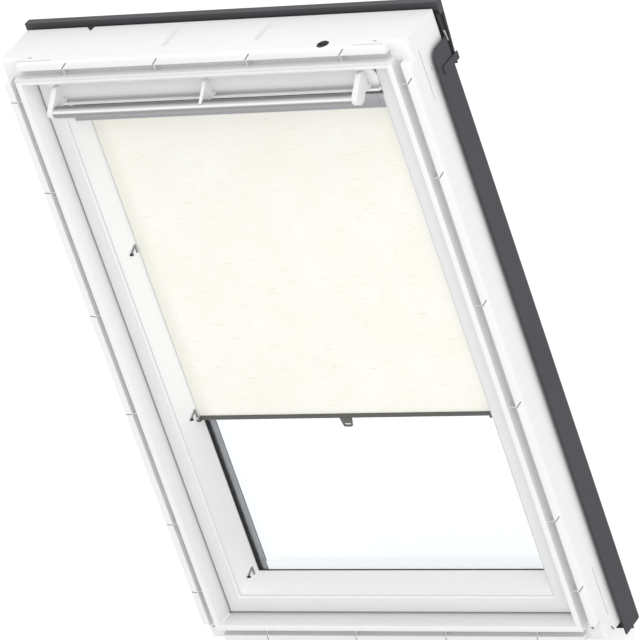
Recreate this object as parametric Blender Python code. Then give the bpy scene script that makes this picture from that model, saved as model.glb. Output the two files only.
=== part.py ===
"""Centre-pivot roof window with its hooked roller blind, built as one assembly.

Units are metres. X runs to the right as seen from the room, Y from the room to the outside, and Z
up the roof slope. The origin is the middle of the sill's underside. Below, a depth is measured
from the room-side face of the frame toward the outside, and an inset from the outer faces of the
frame toward the glass, so every section of a frame or sash member is a list of (inset, depth).
"""
import math

import bmesh
import bpy
from mathutils import Vector

MM = 0.001

SIDES = (("left", -1), ("right", 1))
SIDE_JAMBS = {-1: "jamb_left", 1: "jamb_right"}

# Clearances
CLEAR = 0.3 * MM                # between faces that touch on the real window
MITRE_BACK = CLEAR / math.sqrt(2)  # how far each mitred end stands back, measured along the member
PAST = 5 * MM                   # how far a cutter reaches past what it cuts

# Frame
FRAME_WIDTH = 660 * MM
FRAME_HEIGHT = 978 * MM
FRAME_DEPTH = 95 * MM
FLANGE_WIDTH = 13 * MM          # outer flange, in front of the lining groove
FLANGE_ROUND = 4 * MM
FLANGE_STOP = 29 * MM           # the flange ends this far from each corner
GROOVE_WIDTH = 11 * MM          # groove that takes the edge of the reveal lining
GROOVE_DEPTH = 12 * MM
LIP_WIDTH = 9 * MM              # lip between the groove and the opening
LIP_RISE = 5 * MM               # how far it stands out past the flange toward the room
LIP_BEVEL = 1.5 * MM
FLARE_WIDTH = 7.7 * MM          # the opening narrows by this much behind the lip
FLARE_DEPTH = 20 * MM

# Sash
SASH_GAP = 3.3 * MM             # running gap between sash and frame
SASH_FRONT = 18 * MM            # depth of its room-side face
SASH_BEHIND = 3.7 * MM          # how far it reaches past the outer pane
SASH_ROUND = 1.5 * MM
FACE_WIDTH = 22.5 * MM
BEAD_WIDTH = 5 * MM             # moulded double step inside the face
BEAD_DROP = 6 * MM
BEAD_STEP = 0.9 * MM            # width of the slope at each of its two steps
SLOPE_WIDTH = 16 * MM           # sloping face down to the glass
SLOPE_DROP = 33 * MM
GLAZING_LIP = 1.5 * MM
GLASS_BITE = 13.5 * MM          # depth of the glazing rebate behind the lip
GLASS_DROP = 9 * MM             # the panes and their rebate reach this much lower at the bottom

# Top rail and its vent pocket
VENT_POCKET_FLOOR = 40 * MM     # depth of the pocket for the vent flap
RAIL_NOSE = 2.5 * MM            # thin front edge over the flap
RAIL_SLOPE = 3.5 * MM           # height of the slope from the rail's front down to the glass

# Glazing
GASKET_WIDTH = 8.5 * MM
GASKET_SHOWS = 5 * MM           # how much of the gasket shows past the sash
GASKET_DROP = 4 * MM            # its lower side lies this much lower
GASKET_THICKNESS = 1.4 * MM
PANE = 4 * MM
PANE_EDGE = 2 * MM              # play between a pane's edge and the rebate
SPACER_DEPTH = 11.2 * MM
SPACER_WIDTH = 7.5 * MM
SPACER_SHOWS = 1 * MM           # how much further in than the gasket it reaches
SPACER_DROP = 18.5 * MM         # its lower side lies this much lower, hidden behind the rail
SEAL_WIDTH = 1.7 * MM
SEAL_START = 70 * MM
SEAL_END = 76 * MM

# Outer covers
SHEET = 2 * MM                  # thickness of the covers that lie on the frame
SKIRT_SHEET = 1.5 * MM
SKIRT_STANDOFF = 6 * MM         # outer plane of the side skirts past the frame
SKIRT_START = 54 * MM
SKIRT_HEM = 2.5 * MM            # turned in along the front edge of each skirt
COVER_DROP = 20 * MM            # the covers reach this far below the sill
SKIRT_DROP = 44 * MM            # from the frame's top edge down to the upper end of the covers
SKIRT_ROUND = 13 * MM
SILL_COVER_HEIGHT = 60 * MM
APRON_HEIGHT = 17.7 * MM        # black strip that hangs from the covers below the sill
APRON_INSET = 8 * MM
SASH_COVER_START = 2 * MM       # inset of the sash covers from the edge of the sash
SASH_COVER_WIDTH = 42 * MM
SASH_COVER_WIDTH_LOW = 22 * MM  # of the bottom one, which leaves the glass free for the water
SASH_COVER_THICKNESS = 3 * MM
SASH_COVER_EDGE = 2 * MM
HOOD_SHEET = 2.5 * MM
HOOD_RISE = 7 * MM              # top of the hood above the head of the frame
HOOD_GAP = 4.7 * MM             # between the covers and its room-side leg, behind the head
HOOD_FRONT_LEG = 14 * MM        # height of that leg
HOOD_WIDTH = 12.5 * MM          # of its top
HOOD_FALL = 0.5 * MM            # its top falls by this much toward the outside
HOOD_LEAN = 9 * MM              # its outer leg comes back in by this much
HOOD_LEG = 97 * MM              # height of its outer leg
HOOD_TIP = 20 * MM              # height of the flaps at its ends
END_SEAL_WIDTH = 9 * MM
FOOT_UP = 4 * MM                # small feet that hold the hood's ends, above its lower edge
FOOT_HEIGHT = 12 * MM
FOOT_SETBACK = 12 * MM          # from the front edge of the side covers
FOOT_PAST = 5 * MM              # past the hood's lower edge
FOOT_THICKNESS = 1.5 * MM

# Cable grommet in the head
GROMMET_INSET = 131 * MM        # from the right-hand outer face
GROMMET_AT = 12 * MM            # its depth
GROMMET_RADIUS = 8.7 * MM
GROMMET_LENGTH = 8 * MM
GROMMET_RISE = 0.6 * MM

# Pivot hinges
PIVOT_AT = 52 * MM              # depth of the axis, which is at mid height
PIVOT_RADIUS = 8 * MM
PIVOT_PLATE = 2.5 * MM
PIVOT_PLATE_HALF = 60 * MM
PIVOT_PLATE_WIDTH = 28 * MM

# Lock
LOCK_HALF = 45 * MM
LOCK_DROP = 7 * MM              # below the top edge of the sash
LOCK_HEIGHT = 24 * MM
LOCK_DEPTH = 16 * MM
BOLT_HALF = 5.5 * MM
BOLT_AT = 48 * MM
BOLT_THICKNESS = 5 * MM
STRIKE_HALF = 30 * MM
STRIKE_THICKNESS = 1.5 * MM
STRIKE_WIDTH = 26 * MM
STRIKE_PLAY = 1.7 * MM          # room around the bolt in the strike plate

# Vent flap with the control bar. A drop is measured down from the top edge of the sash.
FLAP_PLAY = 0.4 * MM            # between each end and its stile
FLAP_CENTRE_AT = -9 * MM        # depth of the centre of its hollow face
FLAP_CENTRE_DROP = 17 * MM
FLAP_RADIUS = 26 * MM
FLAP_SHEET = 2.5 * MM
FLAP_TOP_ANGLE = 50             # degrees above the level of the centre
FLAP_LOW_ANGLE = -24
FLAP_LIP = 10.3 * MM            # depth of the front of its lower lip
FLAP_LIP_DROP = 29 * MM
FLAP_LIP_HALF = 1.4 * MM        # half the thickness of the lip
FLAP_AXIS_AT = 29 * MM          # depth of its hinge pins
FLAP_AXIS_DROP = 35.8 * MM
FLAP_FOOT = 1.4 * MM            # half the thickness of its foot, which reaches to the hinge pins
FLAP_FOOT_END = 31 * MM
FLAP_PIN_RADIUS = 1.2 * MM
FLAP_PIN_REACH = 2 * MM         # how deep each pin sits in its stile
BRACKET_WIDTH = 8.5 * MM
BRACKET_INSET = 12 * MM         # from each stile to the bracket beside it
BRACKET_MIDDLE_WIDTH = 5 * MM

# Sections of the control bar and its brackets, as (depth, drop) points in millimetres
BAR_SECTION = [(-8, 34.7), (-5.5, 32), (-5.5, 26), (-7, 24.1), (-11, 21.2), (-16, 18),
               (-20, 16.7), (-24.5, 17), (-28.5, 19.4), (-30.8, 23), (-30.2, 27),
               (-26.5, 31.2), (-22, 34), (-17, 34.7)]
BRACKET_ARM = [(8, 20), (8, -2.5), (0, -3), (-2, -2.3), (-10, 4.7), (-19, 11.3), (-28, 18)]
BRACKET_FOOT = [(1.4, 24.5), (12, 26.7)]
BRACKET_NOSE = [(-30.3, 21), (-31, 24), (-30, 27.5), (-26.5, 31.4), (-22.3, 34), (-14.1, 33.4),
                (-9, 29), (-5.5, 25.5)]
BRACKET_OVER_BAR = [(-24.5, 16.7), (-20, 16.4), (-16, 17.7), (-11, 20.9), (-7, 23.8),
                    (-4.5, 25.5)]
BRACKET_SEAT_ANGLES = (-22, -10)   # where each bracket's foot meets the flap's hollow face

# Roller blind
BLIND_OVERLAP = 0.8 * MM        # the fabric is this much wider than the glass on each side
FABRIC_THICKNESS = 0.4 * MM
TUBE_RADIUS = 6 * MM
TUBE_WALL = 0.8 * MM
ROLL_RADIUS = 8 * MM            # of the fabric wound on the tube
SPINDLE_RADIUS = 2.2 * MM
SPRING_HALF = 150 * MM
PLUG_LENGTH = 12 * MM
HEADRAIL_FRONT = 31 * MM
HEADRAIL_DROP = 3.5 * MM        # below the pocket for the vent flap
HEADRAIL_HEIGHT = 22 * MM
HEADRAIL_SHEET = 1.5 * MM
HEADRAIL_REAR_LEG = 15 * MM
ROLLER_ROOM = 3 * MM            # between the headrail's front and the wound fabric
FABRIC_ROOM = 0.6 * MM          # between the fabric and the headrail's rear leg
MOUTH_WIDTH = 3.8 * MM          # from the end of the headrail's underside to the fabric
BRACKET_SEAT = 0.5 * MM         # from the fabric's edge to the end brackets
BRACKET_SETBACK = 4 * MM        # the end brackets stop this far short of the headrail's back
PIN_REACH = 2.4 * MM            # how deep the roller's pins sit in the end brackets
BOTTOM_BAR_HEIGHT = 6 * MM
BOTTOM_BAR_THICKNESS = 4.5 * MM
BOTTOM_BAR_BEHIND = 1.3 * MM    # how far it reaches behind the fabric
BOTTOM_BAR_ROUND = 1.2 * MM
BOTTOM_BAR_SHORT = 3.6 * MM     # it is this much shorter than the fabric at each end
CAP_THICKNESS = 2.6 * MM
CAP_WALL = 0.4 * MM             # of each end cap around its pin
GUIDE_PIN_RADIUS = 1.2 * MM
GUIDE_PIN_LENGTH = 3.2 * MM
TAB_TOP_HALF = 10 * MM
TAB_LOW_HALF = 7.3 * MM
TAB_LENGTH = 15 * MM
TAB_THICKNESS = 2 * MM
TAB_CORNER = 1.5 * MM           # cut off its lower corners
TAB_SLOT_HALF = 5.5 * MM
TAB_SLOT_HEIGHT = 2.5 * MM
TAB_SLOT_UP = 3 * MM            # from the tab's end to its slot

# Side hooks of the blind
HOOK_HEIGHTS = {"upper": 649 * MM, "middle": 371 * MM, "lower": 99 * MM}
HOOK_THICKNESS = 1 * MM
HOOK_WIRE = 2.2 * MM
HOOK_BEND = 48.7 * MM           # depth of the bend
PIN_BEFORE_HOOK = 3.9 * MM      # the bar's pins lie in front of the middle hooks' bends by this much
PIN_BELOW_HOOK = 16 * MM        # and this far below the tops of those hooks
HOOK_LEG = 12 * MM
HOOK_FOOT_AT = 38.9 * MM        # depth of the fixing knob at its room-side foot
HOOK_FOOT_DROP = 9.8 * MM
KNOB_RADIUS = 1.8 * MM
KNOB_HEIGHT = 3 * MM

# Places that follow from the sizes above
HALF_WIDTH = FRAME_WIDTH / 2
LIP_START = FLANGE_WIDTH + GROOVE_WIDTH
LIP_END = LIP_START + LIP_WIDTH
WALL = LIP_END + FLARE_WIDTH
SASH_START = WALL + SASH_GAP
FACE_END = SASH_START + FACE_WIDTH
FLAP_ROOM = HALF_WIDTH - FACE_END
SLOPE_START = FACE_END + BEAD_WIDTH
SLOPE_TOP = SASH_FRONT + BEAD_DROP
GLASS_START = SLOPE_START + SLOPE_WIDTH
GLASS_LIP_FRONT = SLOPE_TOP + SLOPE_DROP
GLASS_LIP_BACK = GLASS_LIP_FRONT + GLAZING_LIP
REBATE = GLASS_START - GLASS_BITE
SASH_TOP = FRAME_HEIGHT - SASH_START
RAIL_LOW = GLASS_START - RAIL_SLOPE
VENT_POCKET_LOW = FRAME_HEIGHT - GLASS_START
PIVOT_HEIGHT = FRAME_HEIGHT / 2
GROMMET_X = HALF_WIDTH - GROMMET_INSET
GASKET_FRONT = GLASS_LIP_BACK + CLEAR
INNER_PANE = GASKET_FRONT + GASKET_THICKNESS + CLEAR
SPACER_FRONT = INNER_PANE + PANE + CLEAR
OUTER_PANE = SPACER_FRONT + SPACER_DEPTH + CLEAR
SASH_BACK = OUTER_PANE + PANE + SASH_BEHIND
COVER_FRONT = FRAME_DEPTH + CLEAR
COVER_BACK = COVER_FRONT + SHEET
SKIRT_PLANE = HALF_WIDTH + SKIRT_STANDOFF
SKIRT_TOP = FRAME_HEIGHT - SKIRT_DROP
APRON_HIGH = -COVER_DROP - CLEAR
HOOD_TOP = FRAME_HEIGHT + HOOD_RISE
HOOD_UNDER = HOOD_TOP - HOOD_SHEET
HOOD_LOW = HOOD_TOP - HOOD_LEG
HOOD_START = COVER_BACK + HOOD_GAP
HOOD_EDGE = HOOD_START + HOOD_WIDTH
HOOD_TOE = HOOD_EDGE - HOOD_LEAN
FOOT_LOW = HOOD_LOW + FOOT_UP
LOCK_HIGH = SASH_TOP - LOCK_DROP
LOCK_LOW = LOCK_HIGH - LOCK_HEIGHT
FLAP_HALF = FLAP_ROOM - FLAP_PLAY
FLAP_CENTRE = (FLAP_CENTRE_AT, SASH_TOP - FLAP_CENTRE_DROP)
FLAP_LIP_HEIGHT = SASH_TOP - FLAP_LIP_DROP
FLAP_AXIS = (FLAP_AXIS_AT, SASH_TOP - FLAP_AXIS_DROP)
BRACKET_OUTER = FLAP_ROOM - BRACKET_INSET
BLIND_HALF = HALF_WIDTH - GLASS_START + BLIND_OVERLAP
BRACKET_INNER = BLIND_HALF + BRACKET_SEAT
HEADRAIL_HIGH = VENT_POCKET_LOW - HEADRAIL_DROP
HEADRAIL_LOW = HEADRAIL_HIGH - HEADRAIL_HEIGHT
ROLLER_HEIGHT = HEADRAIL_LOW + HEADRAIL_HEIGHT / 2
ROLLER_AT = HEADRAIL_FRONT + HEADRAIL_SHEET + ROLLER_ROOM + ROLL_RADIUS
FABRIC_FRONT = ROLLER_AT + ROLL_RADIUS + CLEAR
FABRIC_BACK = FABRIC_FRONT + FABRIC_THICKNESS
HEADRAIL_MOUTH = FABRIC_FRONT - MOUTH_WIDTH
HEADRAIL_BACK = FABRIC_BACK + FABRIC_ROOM + HEADRAIL_SHEET
BRACKET_REAR = HEADRAIL_BACK - BRACKET_SETBACK
GUIDE_PIN_AT = HOOK_BEND - PIN_BEFORE_HOOK
GUIDE_PIN_HEIGHT = HOOK_HEIGHTS["middle"] - PIN_BELOW_HOOK
CAP_EDGE = GUIDE_PIN_RADIUS + CAP_WALL
BLIND_BOTTOM = GUIDE_PIN_HEIGHT - CAP_EDGE
BOTTOM_BAR_BACK = FABRIC_BACK + BOTTOM_BAR_BEHIND
BOTTOM_BAR_FRONT = BOTTOM_BAR_BACK - BOTTOM_BAR_THICKNESS
BOTTOM_BAR_HALF = BLIND_HALF - BOTTOM_BAR_SHORT
TAB_TOP = BLIND_BOTTOM - CLEAR
TAB_FRONT = (BOTTOM_BAR_FRONT + BOTTOM_BAR_BACK - TAB_THICKNESS) / 2

# Finishes: colour, roughness, metallic
WHITE_COAT = ((0.86, 0.86, 0.86), 0.35, 0.0)
GREY_COVER = ((0.085, 0.083, 0.095), 0.45, 0.0)
DARK_HOOD = ((0.065, 0.065, 0.072), 0.45, 0.0)
BLACK_RUBBER = ((0.015, 0.015, 0.015), 0.7, 0.0)
BLACK_PLASTIC = ((0.02, 0.02, 0.02), 0.5, 0.0)
ZINC = ((0.6, 0.6, 0.6), 0.35, 1.0)
ALUMINIUM = ((0.62, 0.61, 0.65), 0.35, 0.8)
GLASS = ((0.95, 0.98, 0.97), 0.02, 0.0)
CREAM_FABRIC = ((0.9, 0.88, 0.8), 0.9, 0.0)
GREY_BAR = ((0.11, 0.11, 0.1), 0.4, 0.2)
WHITE_PLASTIC = ((0.82, 0.82, 0.82), 0.4, 0.0)


def arc(centre, radius, start, end, steps):
    """Points of an arc from one angle to another, in degrees."""
    angles = [math.radians(start + (end - start) * i / steps) for i in range(steps + 1)]
    return [(centre[0] + radius * math.cos(a), centre[1] + radius * math.sin(a)) for a in angles]


def circle(centre, radius, sides=24):
    """Points of a whole circle."""
    return arc(centre, radius, 0, 360, sides)[:-1]


def rectangle(low, high):
    """Corners of a rectangle between two opposite ones."""
    return [low, (high[0], low[1]), high, (low[0], high[1])]


def from_sash_top(points):
    """(depth, drop) points in millimetres as (depth, height) points in metres."""
    return [(depth * MM, SASH_TOP - drop * MM) for depth, drop in points]


def clipped(low, high, cut):
    """Corners of a rectangle whose corners are bevelled."""
    (a, b), (c, d) = low, high
    return [(a + cut, b), (c - cut, b), (c, b + cut), (c, d - cut),
            (c - cut, d), (a + cut, d), (a, d - cut), (a, b + cut)]


def loft(rings, closed=False):
    """A solid through rings of points: capped at both ends, or closed on itself."""
    bm = bmesh.new()
    loops = [[bm.verts.new(point) for point in ring] for ring in rings]
    pairs = list(zip(loops, loops[1:]))
    if closed:
        pairs.append((loops[-1], loops[0]))
    else:
        bm.faces.new(loops[0])
        bm.faces.new(loops[-1])
    for before, after in pairs:
        for i, vertex in enumerate(before):
            j = (i + 1) % len(before)
            bm.faces.new((vertex, before[j], after[j], after[i]))
    bmesh.ops.recalc_face_normals(bm, faces=bm.faces)
    return bm


def prism(outline, along, start, end):
    """An outline pushed along an axis: (depth, height) along X, (x, height) along Y, or
    (x, depth) along Z."""
    place = {"X": lambda s, a, b: (s, a, b), "Y": lambda s, a, b: (a, s, b),
             "Z": lambda s, a, b: (a, b, s)}[along]
    return loft([[place(s, a, b) for a, b in outline] for s in (start, end)])


def tube(outer, inner, centre, start, end):
    """A pipe along X, round a (depth, height) centre."""
    def ring(radius, x):
        return [(x, depth, height) for depth, height in circle(centre, radius)]
    return loft([ring(outer, start), ring(outer, end), ring(inner, end), ring(inner, start)], True)


def section(side, inset, depth, along):
    """A point of a member's section: the place along it is an x or a height."""
    return {"left": (inset - HALF_WIDTH, depth, along), "right": (HALF_WIDTH - inset, depth, along),
            "sill": (along, depth, inset), "head": (along, depth, FRAME_HEIGHT - inset)}[side]


def member(side, outline, end=None):
    """A straight member with mitred ends. A given end is a square one, in place of the last."""
    upright = side in ("left", "right")
    low, high = (0, FRAME_HEIGHT) if upright else (-HALF_WIDTH, HALF_WIDTH)
    first = [section(side, inset, depth, low + inset + MITRE_BACK) for inset, depth in outline]
    last = [section(side, inset, depth, high - inset - MITRE_BACK if end is None else end)
            for inset, depth in outline]
    return loft([first, last])


def hoop(outline, drop=0):
    """A rectangular ring of one (inset, depth) section, whose lower side may lie lower."""
    def corner(x_sign, low):
        return [(x_sign * (HALF_WIDTH - inset), depth,
                 inset - drop if low else FRAME_HEIGHT - inset) for inset, depth in outline]
    return loft([corner(-1, True), corner(1, True), corner(1, False), corner(-1, False)], True)


def both_ways(shape, sign):
    """The same shape on the right or, mirrored, on the left."""
    if sign < 0:
        bmesh.ops.scale(shape, vec=(-1, 1, 1), verts=shape.verts)
        bmesh.ops.recalc_face_normals(shape, faces=shape.faces)
    return shape


def slope_inset(depth):
    """Inset of the sash's sloping face at a depth."""
    return SLOPE_START + SLOPE_WIDTH * (depth - SLOPE_TOP) / SLOPE_DROP


def slope_x(depth):
    """Distance from the middle to the sloping face of a stile."""
    return HALF_WIDTH - slope_inset(depth)


def clear_scene():
    """Start from an empty scene."""
    for found in list(bpy.data.objects):
        bpy.data.objects.remove(found, do_unlink=True)


def axis_empty(name, depth, height):
    """The parent of a group of pieces, standing on the axis that they turn about."""
    found = bpy.data.objects.new(name, None)
    found.location = (0, depth - FRAME_DEPTH / 2, height)
    found["origin"] = (0, depth, height)
    bpy.context.collection.objects.link(found)
    return found


def add(name, shape, axis):
    """An object from a shape, with its own origin on its group's axis."""
    bmesh.ops.translate(shape, vec=-Vector(axis["origin"]), verts=shape.verts)
    mesh = bpy.data.meshes.new(name)
    shape.to_mesh(mesh)
    shape.free()
    found = bpy.data.objects.new(name, mesh)
    found.parent = axis
    bpy.context.collection.objects.link(found)
    return found


def piece(name, shape, finish, axis, smooth=False):
    """A named piece of the window with its own material."""
    found = add(name, shape, axis)
    colour, roughness, metallic = finish
    material = bpy.data.materials.new(name)
    material.use_nodes = True
    shader = material.node_tree.nodes["Principled BSDF"]
    shader.inputs["Base Color"].default_value = (*colour, 1)
    shader.inputs["Roughness"].default_value = roughness
    shader.inputs["Metallic"].default_value = metallic
    found.data.materials.append(material)
    if smooth:
        found.data.shade_smooth()
        found.data.set_sharp_from_angle(angle=math.radians(35))
    return found


def combine(found, shape, operation, axis):
    """Cut a shape out of a piece, or join it to the piece."""
    tool = add(found.name + "_" + operation.lower(), shape, axis)
    tool.hide_render = True
    tool.display_type = "WIRE"
    modifier = found.modifiers.new(tool.name, "BOOLEAN")
    modifier.operation = operation
    modifier.solver = "EXACT"
    modifier.object = tool


def cut(found, shape, axis):
    """Cut a shape out of a piece."""
    combine(found, shape, "DIFFERENCE", axis)


def join(found, shape, axis):
    """Join a shape to a piece as one body."""
    combine(found, shape, "UNION", axis)


def frame_outline():
    """Section of the frame's members."""
    back = FRAME_DEPTH
    return [(0, back), *arc((FLANGE_ROUND, FLANGE_ROUND), FLANGE_ROUND, 180, 270, 4),
            (FLANGE_WIDTH, 0), (FLANGE_WIDTH, GROOVE_DEPTH), (LIP_START, GROOVE_DEPTH),
            (LIP_START, LIP_BEVEL - LIP_RISE), (LIP_START + LIP_BEVEL, -LIP_RISE),
            (LIP_END - LIP_BEVEL, -LIP_RISE), (LIP_END, LIP_BEVEL - LIP_RISE),
            (WALL, FLARE_DEPTH), (WALL, back)]


def flange_corner(x_sign, upper):
    """The corner where the flange is left out, down to the floor of the lining groove."""
    reach = FLANGE_WIDTH + GROOVE_WIDTH / 2
    outline = [(-PAST, -PAST), (FLANGE_STOP, -PAST), (FLANGE_STOP, reach), (reach, reach),
               (reach, FLANGE_STOP), (-PAST, FLANGE_STOP)]
    placed = [(x_sign * (HALF_WIDTH - a), FRAME_HEIGHT - b if upper else b) for a, b in outline]
    return prism(placed, "Y", -PAST, GROOVE_DEPTH)


def plate_outline(clearance):
    """(depth, height) outline of a hinge plate, or of its pocket with a clearance round it."""
    half_width = PIVOT_PLATE_WIDTH / 2 + clearance
    half_length = PIVOT_PLATE_HALF + clearance
    return rectangle((PIVOT_AT - half_width, PIVOT_HEIGHT - half_length),
                     (PIVOT_AT + half_width, PIVOT_HEIGHT + half_length))


def between(outline, x_sign, inner, outer):
    """A (depth, height) outline pushed along X between two insets from the frame's outer face."""
    return both_ways(prism(outline, "X", HALF_WIDTH - outer, HALF_WIDTH - inner), x_sign)


def frame(axis):
    """Four white members round the opening, with the groove for the reveal lining."""
    jambs = {}
    for side in ("head", "sill", "jamb_left", "jamb_right"):
        found = piece("frame_" + side, member(side.replace("jamb_", ""), frame_outline()),
                      WHITE_COAT, axis)
        for x_sign in (-1, 1):
            for upper in (False, True):
                if side == ("head" if upper else "sill") or side == SIDE_JAMBS[x_sign]:
                    cut(found, flange_corner(x_sign, upper), axis)
        jambs[side] = found
    pocket = PIVOT_PLATE + 2 * CLEAR
    for x_sign in (-1, 1):
        jamb = jambs[SIDE_JAMBS[x_sign]]
        cut(jamb, between(plate_outline(CLEAR), x_sign, WALL - pocket, WALL + PAST), axis)
    head = jambs["head"]
    bed = STRIKE_THICKNESS + CLEAR
    low = FRAME_HEIGHT - WALL
    half = STRIKE_WIDTH / 2
    cut(head, prism(rectangle((-STRIKE_HALF - CLEAR, low - PAST), (STRIKE_HALF + CLEAR, low + bed)),
                    "Y", BOLT_AT - half - CLEAR, BOLT_AT + half + CLEAR), axis)
    cut(head, prism(circle((GROMMET_X, GROMMET_AT), GROMMET_RADIUS + CLEAR), "Z",
                    FRAME_HEIGHT - GROMMET_LENGTH - CLEAR, FRAME_HEIGHT + PAST), axis)
    strike = piece("strike_plate", prism(
        rectangle((-STRIKE_HALF, low), (STRIKE_HALF, low + STRIKE_THICKNESS)),
        "Y", BOLT_AT - half, BOLT_AT + half), ZINC, axis)
    slot_x = BOLT_HALF + STRIKE_PLAY
    slot_y = BOLT_THICKNESS / 2 + STRIKE_PLAY
    cut(strike, prism(rectangle((-slot_x, low - PAST), (slot_x, low + PAST)),
                      "Y", BOLT_AT - slot_y, BOLT_AT + slot_y), axis)
    piece("cable_grommet", prism(circle((GROMMET_X, GROMMET_AT), GROMMET_RADIUS), "Z",
                                 FRAME_HEIGHT - GROMMET_LENGTH, FRAME_HEIGHT + GROMMET_RISE),
          BLACK_RUBBER, axis, smooth=True)


def hood_back(height):
    """Depth of the inner face of the hood's outer leg at a height."""
    share = (height - HOOD_LOW) / (HOOD_UNDER - HOOD_LOW)
    return HOOD_TOE + (HOOD_EDGE - HOOD_TOE) * share - HOOD_SHEET


def frame_covers(axis):
    """Folded sheet covers outside the frame, and the hood over its head."""
    edge = HALF_WIDTH - WALL - CLEAR
    wall = SKIRT_PLANE - SKIRT_SHEET
    hem = SKIRT_START + SKIRT_SHEET
    hem_end = SKIRT_PLANE - SKIRT_HEM
    outline = [(SKIRT_PLANE, SKIRT_START), (SKIRT_PLANE, COVER_BACK), (edge, COVER_BACK),
               (edge, COVER_FRONT), (wall, COVER_FRONT), (wall, hem), (hem_end, hem),
               (hem_end, SKIRT_START)]
    corner = (SKIRT_START + SKIRT_ROUND, SKIRT_TOP - SKIRT_ROUND)
    above = (SKIRT_START - PAST, SKIRT_TOP + PAST)
    rounding = [*arc(corner, SKIRT_ROUND, 180, 90, 6), (corner[0], above[1]), above,
                (above[0], corner[1])]
    foot = rectangle((SKIRT_START + FOOT_SETBACK, FOOT_LOW),
                     (HOOD_TOE + FOOT_PAST, FOOT_LOW + FOOT_HEIGHT))
    seal_low = FOOT_LOW + FOOT_HEIGHT
    seal_high = HOOD_UNDER - CLEAR
    behind_leg = HOOD_START + HOOD_SHEET + CLEAR
    leg_low = HOOD_TOP - HOOD_FRONT_LEG
    end_seal = [(COVER_BACK + CLEAR, seal_low), (hood_back(seal_low) - CLEAR, seal_low),
                (hood_back(seal_high) - CLEAR, seal_high), (behind_leg, seal_high),
                (behind_leg, leg_low - CLEAR), (COVER_BACK + CLEAR, leg_low - CLEAR)]
    for name, x_sign in SIDES:
        cover = piece("side_cover_" + name,
                      both_ways(prism(outline, "Z", -COVER_DROP, SKIRT_TOP), x_sign),
                      GREY_COVER, axis)
        cut(cover, both_ways(prism(rounding, "X", HALF_WIDTH, SKIRT_PLANE + PAST), x_sign), axis)
        outside = SKIRT_PLANE + CLEAR
        piece("hood_foot_" + name,
              both_ways(prism(foot, "X", outside, outside + FOOT_THICKNESS), x_sign),
              GREY_COVER, axis)
        inside = SKIRT_PLANE - HOOD_SHEET - CLEAR
        piece("hood_end_" + name,
              both_ways(prism(end_seal, "X", inside - END_SEAL_WIDTH, inside), x_sign),
              BLACK_PLASTIC, axis)
    inner = edge - CLEAR
    piece("sill_cover", prism(rectangle((-inner, -COVER_DROP),
                                        (inner, SILL_COVER_HEIGHT - COVER_DROP)),
                              "Y", COVER_FRONT, COVER_BACK), GREY_COVER, axis)
    apron_half = HALF_WIDTH - APRON_INSET
    piece("sill_apron", prism(rectangle((-apron_half, APRON_HIGH - APRON_HEIGHT),
                                        (apron_half, APRON_HIGH)),
                              "Y", COVER_FRONT, COVER_BACK), BLACK_RUBBER, axis)
    leg_back = HOOD_START + HOOD_SHEET
    hood_outline = [(HOOD_START, leg_low), (HOOD_START, HOOD_TOP),
                    (HOOD_EDGE, HOOD_TOP - HOOD_FALL), (HOOD_TOE, HOOD_LOW),
                    (HOOD_TOE - HOOD_SHEET, HOOD_LOW), (hood_back(HOOD_UNDER), HOOD_UNDER),
                    (leg_back, HOOD_UNDER), (leg_back, leg_low)]
    hood = piece("hood", prism(hood_outline, "X", -SKIRT_PLANE, SKIRT_PLANE), DARK_HOOD, axis)
    tip_low = HOOD_TOP - HOOD_TIP
    tip = rectangle((HOOD_START + CLEAR, tip_low),
                    (hood_back(tip_low) + HOOD_SHEET / 2, HOOD_UNDER + HOOD_SHEET / 2))
    for _, x_sign in SIDES:
        join(hood, both_ways(prism(tip, "X", SKIRT_PLANE - HOOD_SHEET, SKIRT_PLANE - CLEAR / 2),
                             x_sign), axis)


def pivots(frame_axis, sash_axis):
    """A bored plate let into each jamb, and a plate with a pin let into each stile."""
    back = WALL - PIVOT_PLATE - CLEAR
    centre = (PIVOT_AT, PIVOT_HEIGHT)
    for name, x_sign in SIDES:
        plate = piece("pivot_plate_" + name,
                      between(plate_outline(0), x_sign, back, back + PIVOT_PLATE),
                      ZINC, frame_axis)
        cut(plate, between(circle(centre, PIVOT_RADIUS + CLEAR), x_sign, back - PAST, WALL + PAST),
            frame_axis)
        front = SASH_START + CLEAR
        arm = piece("pivot_arm_" + name,
                    between(plate_outline(0), x_sign, front, front + PIVOT_PLATE),
                    ZINC, sash_axis, smooth=True)
        join(arm, between(circle(centre, PIVOT_RADIUS), x_sign, back, front + PIVOT_PLATE / 2),
             sash_axis)


def sash_outline(rebate):
    """Section of the sash's stiles and bottom rail, with the glazing rebate down to an inset."""
    drop = BEAD_DROP / 2
    return [(SASH_START, SASH_BACK), (SASH_START, SASH_FRONT + SASH_ROUND),
            (SASH_START + SASH_ROUND, SASH_FRONT), (FACE_END, SASH_FRONT),
            (FACE_END + BEAD_STEP, SASH_FRONT + drop),
            (SLOPE_START - BEAD_STEP, SASH_FRONT + drop),
            (SLOPE_START, SLOPE_TOP), (GLASS_START, GLASS_LIP_FRONT),
            (GLASS_START, GLASS_LIP_BACK), (rebate, GLASS_LIP_BACK), (rebate, SASH_BACK)]


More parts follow.
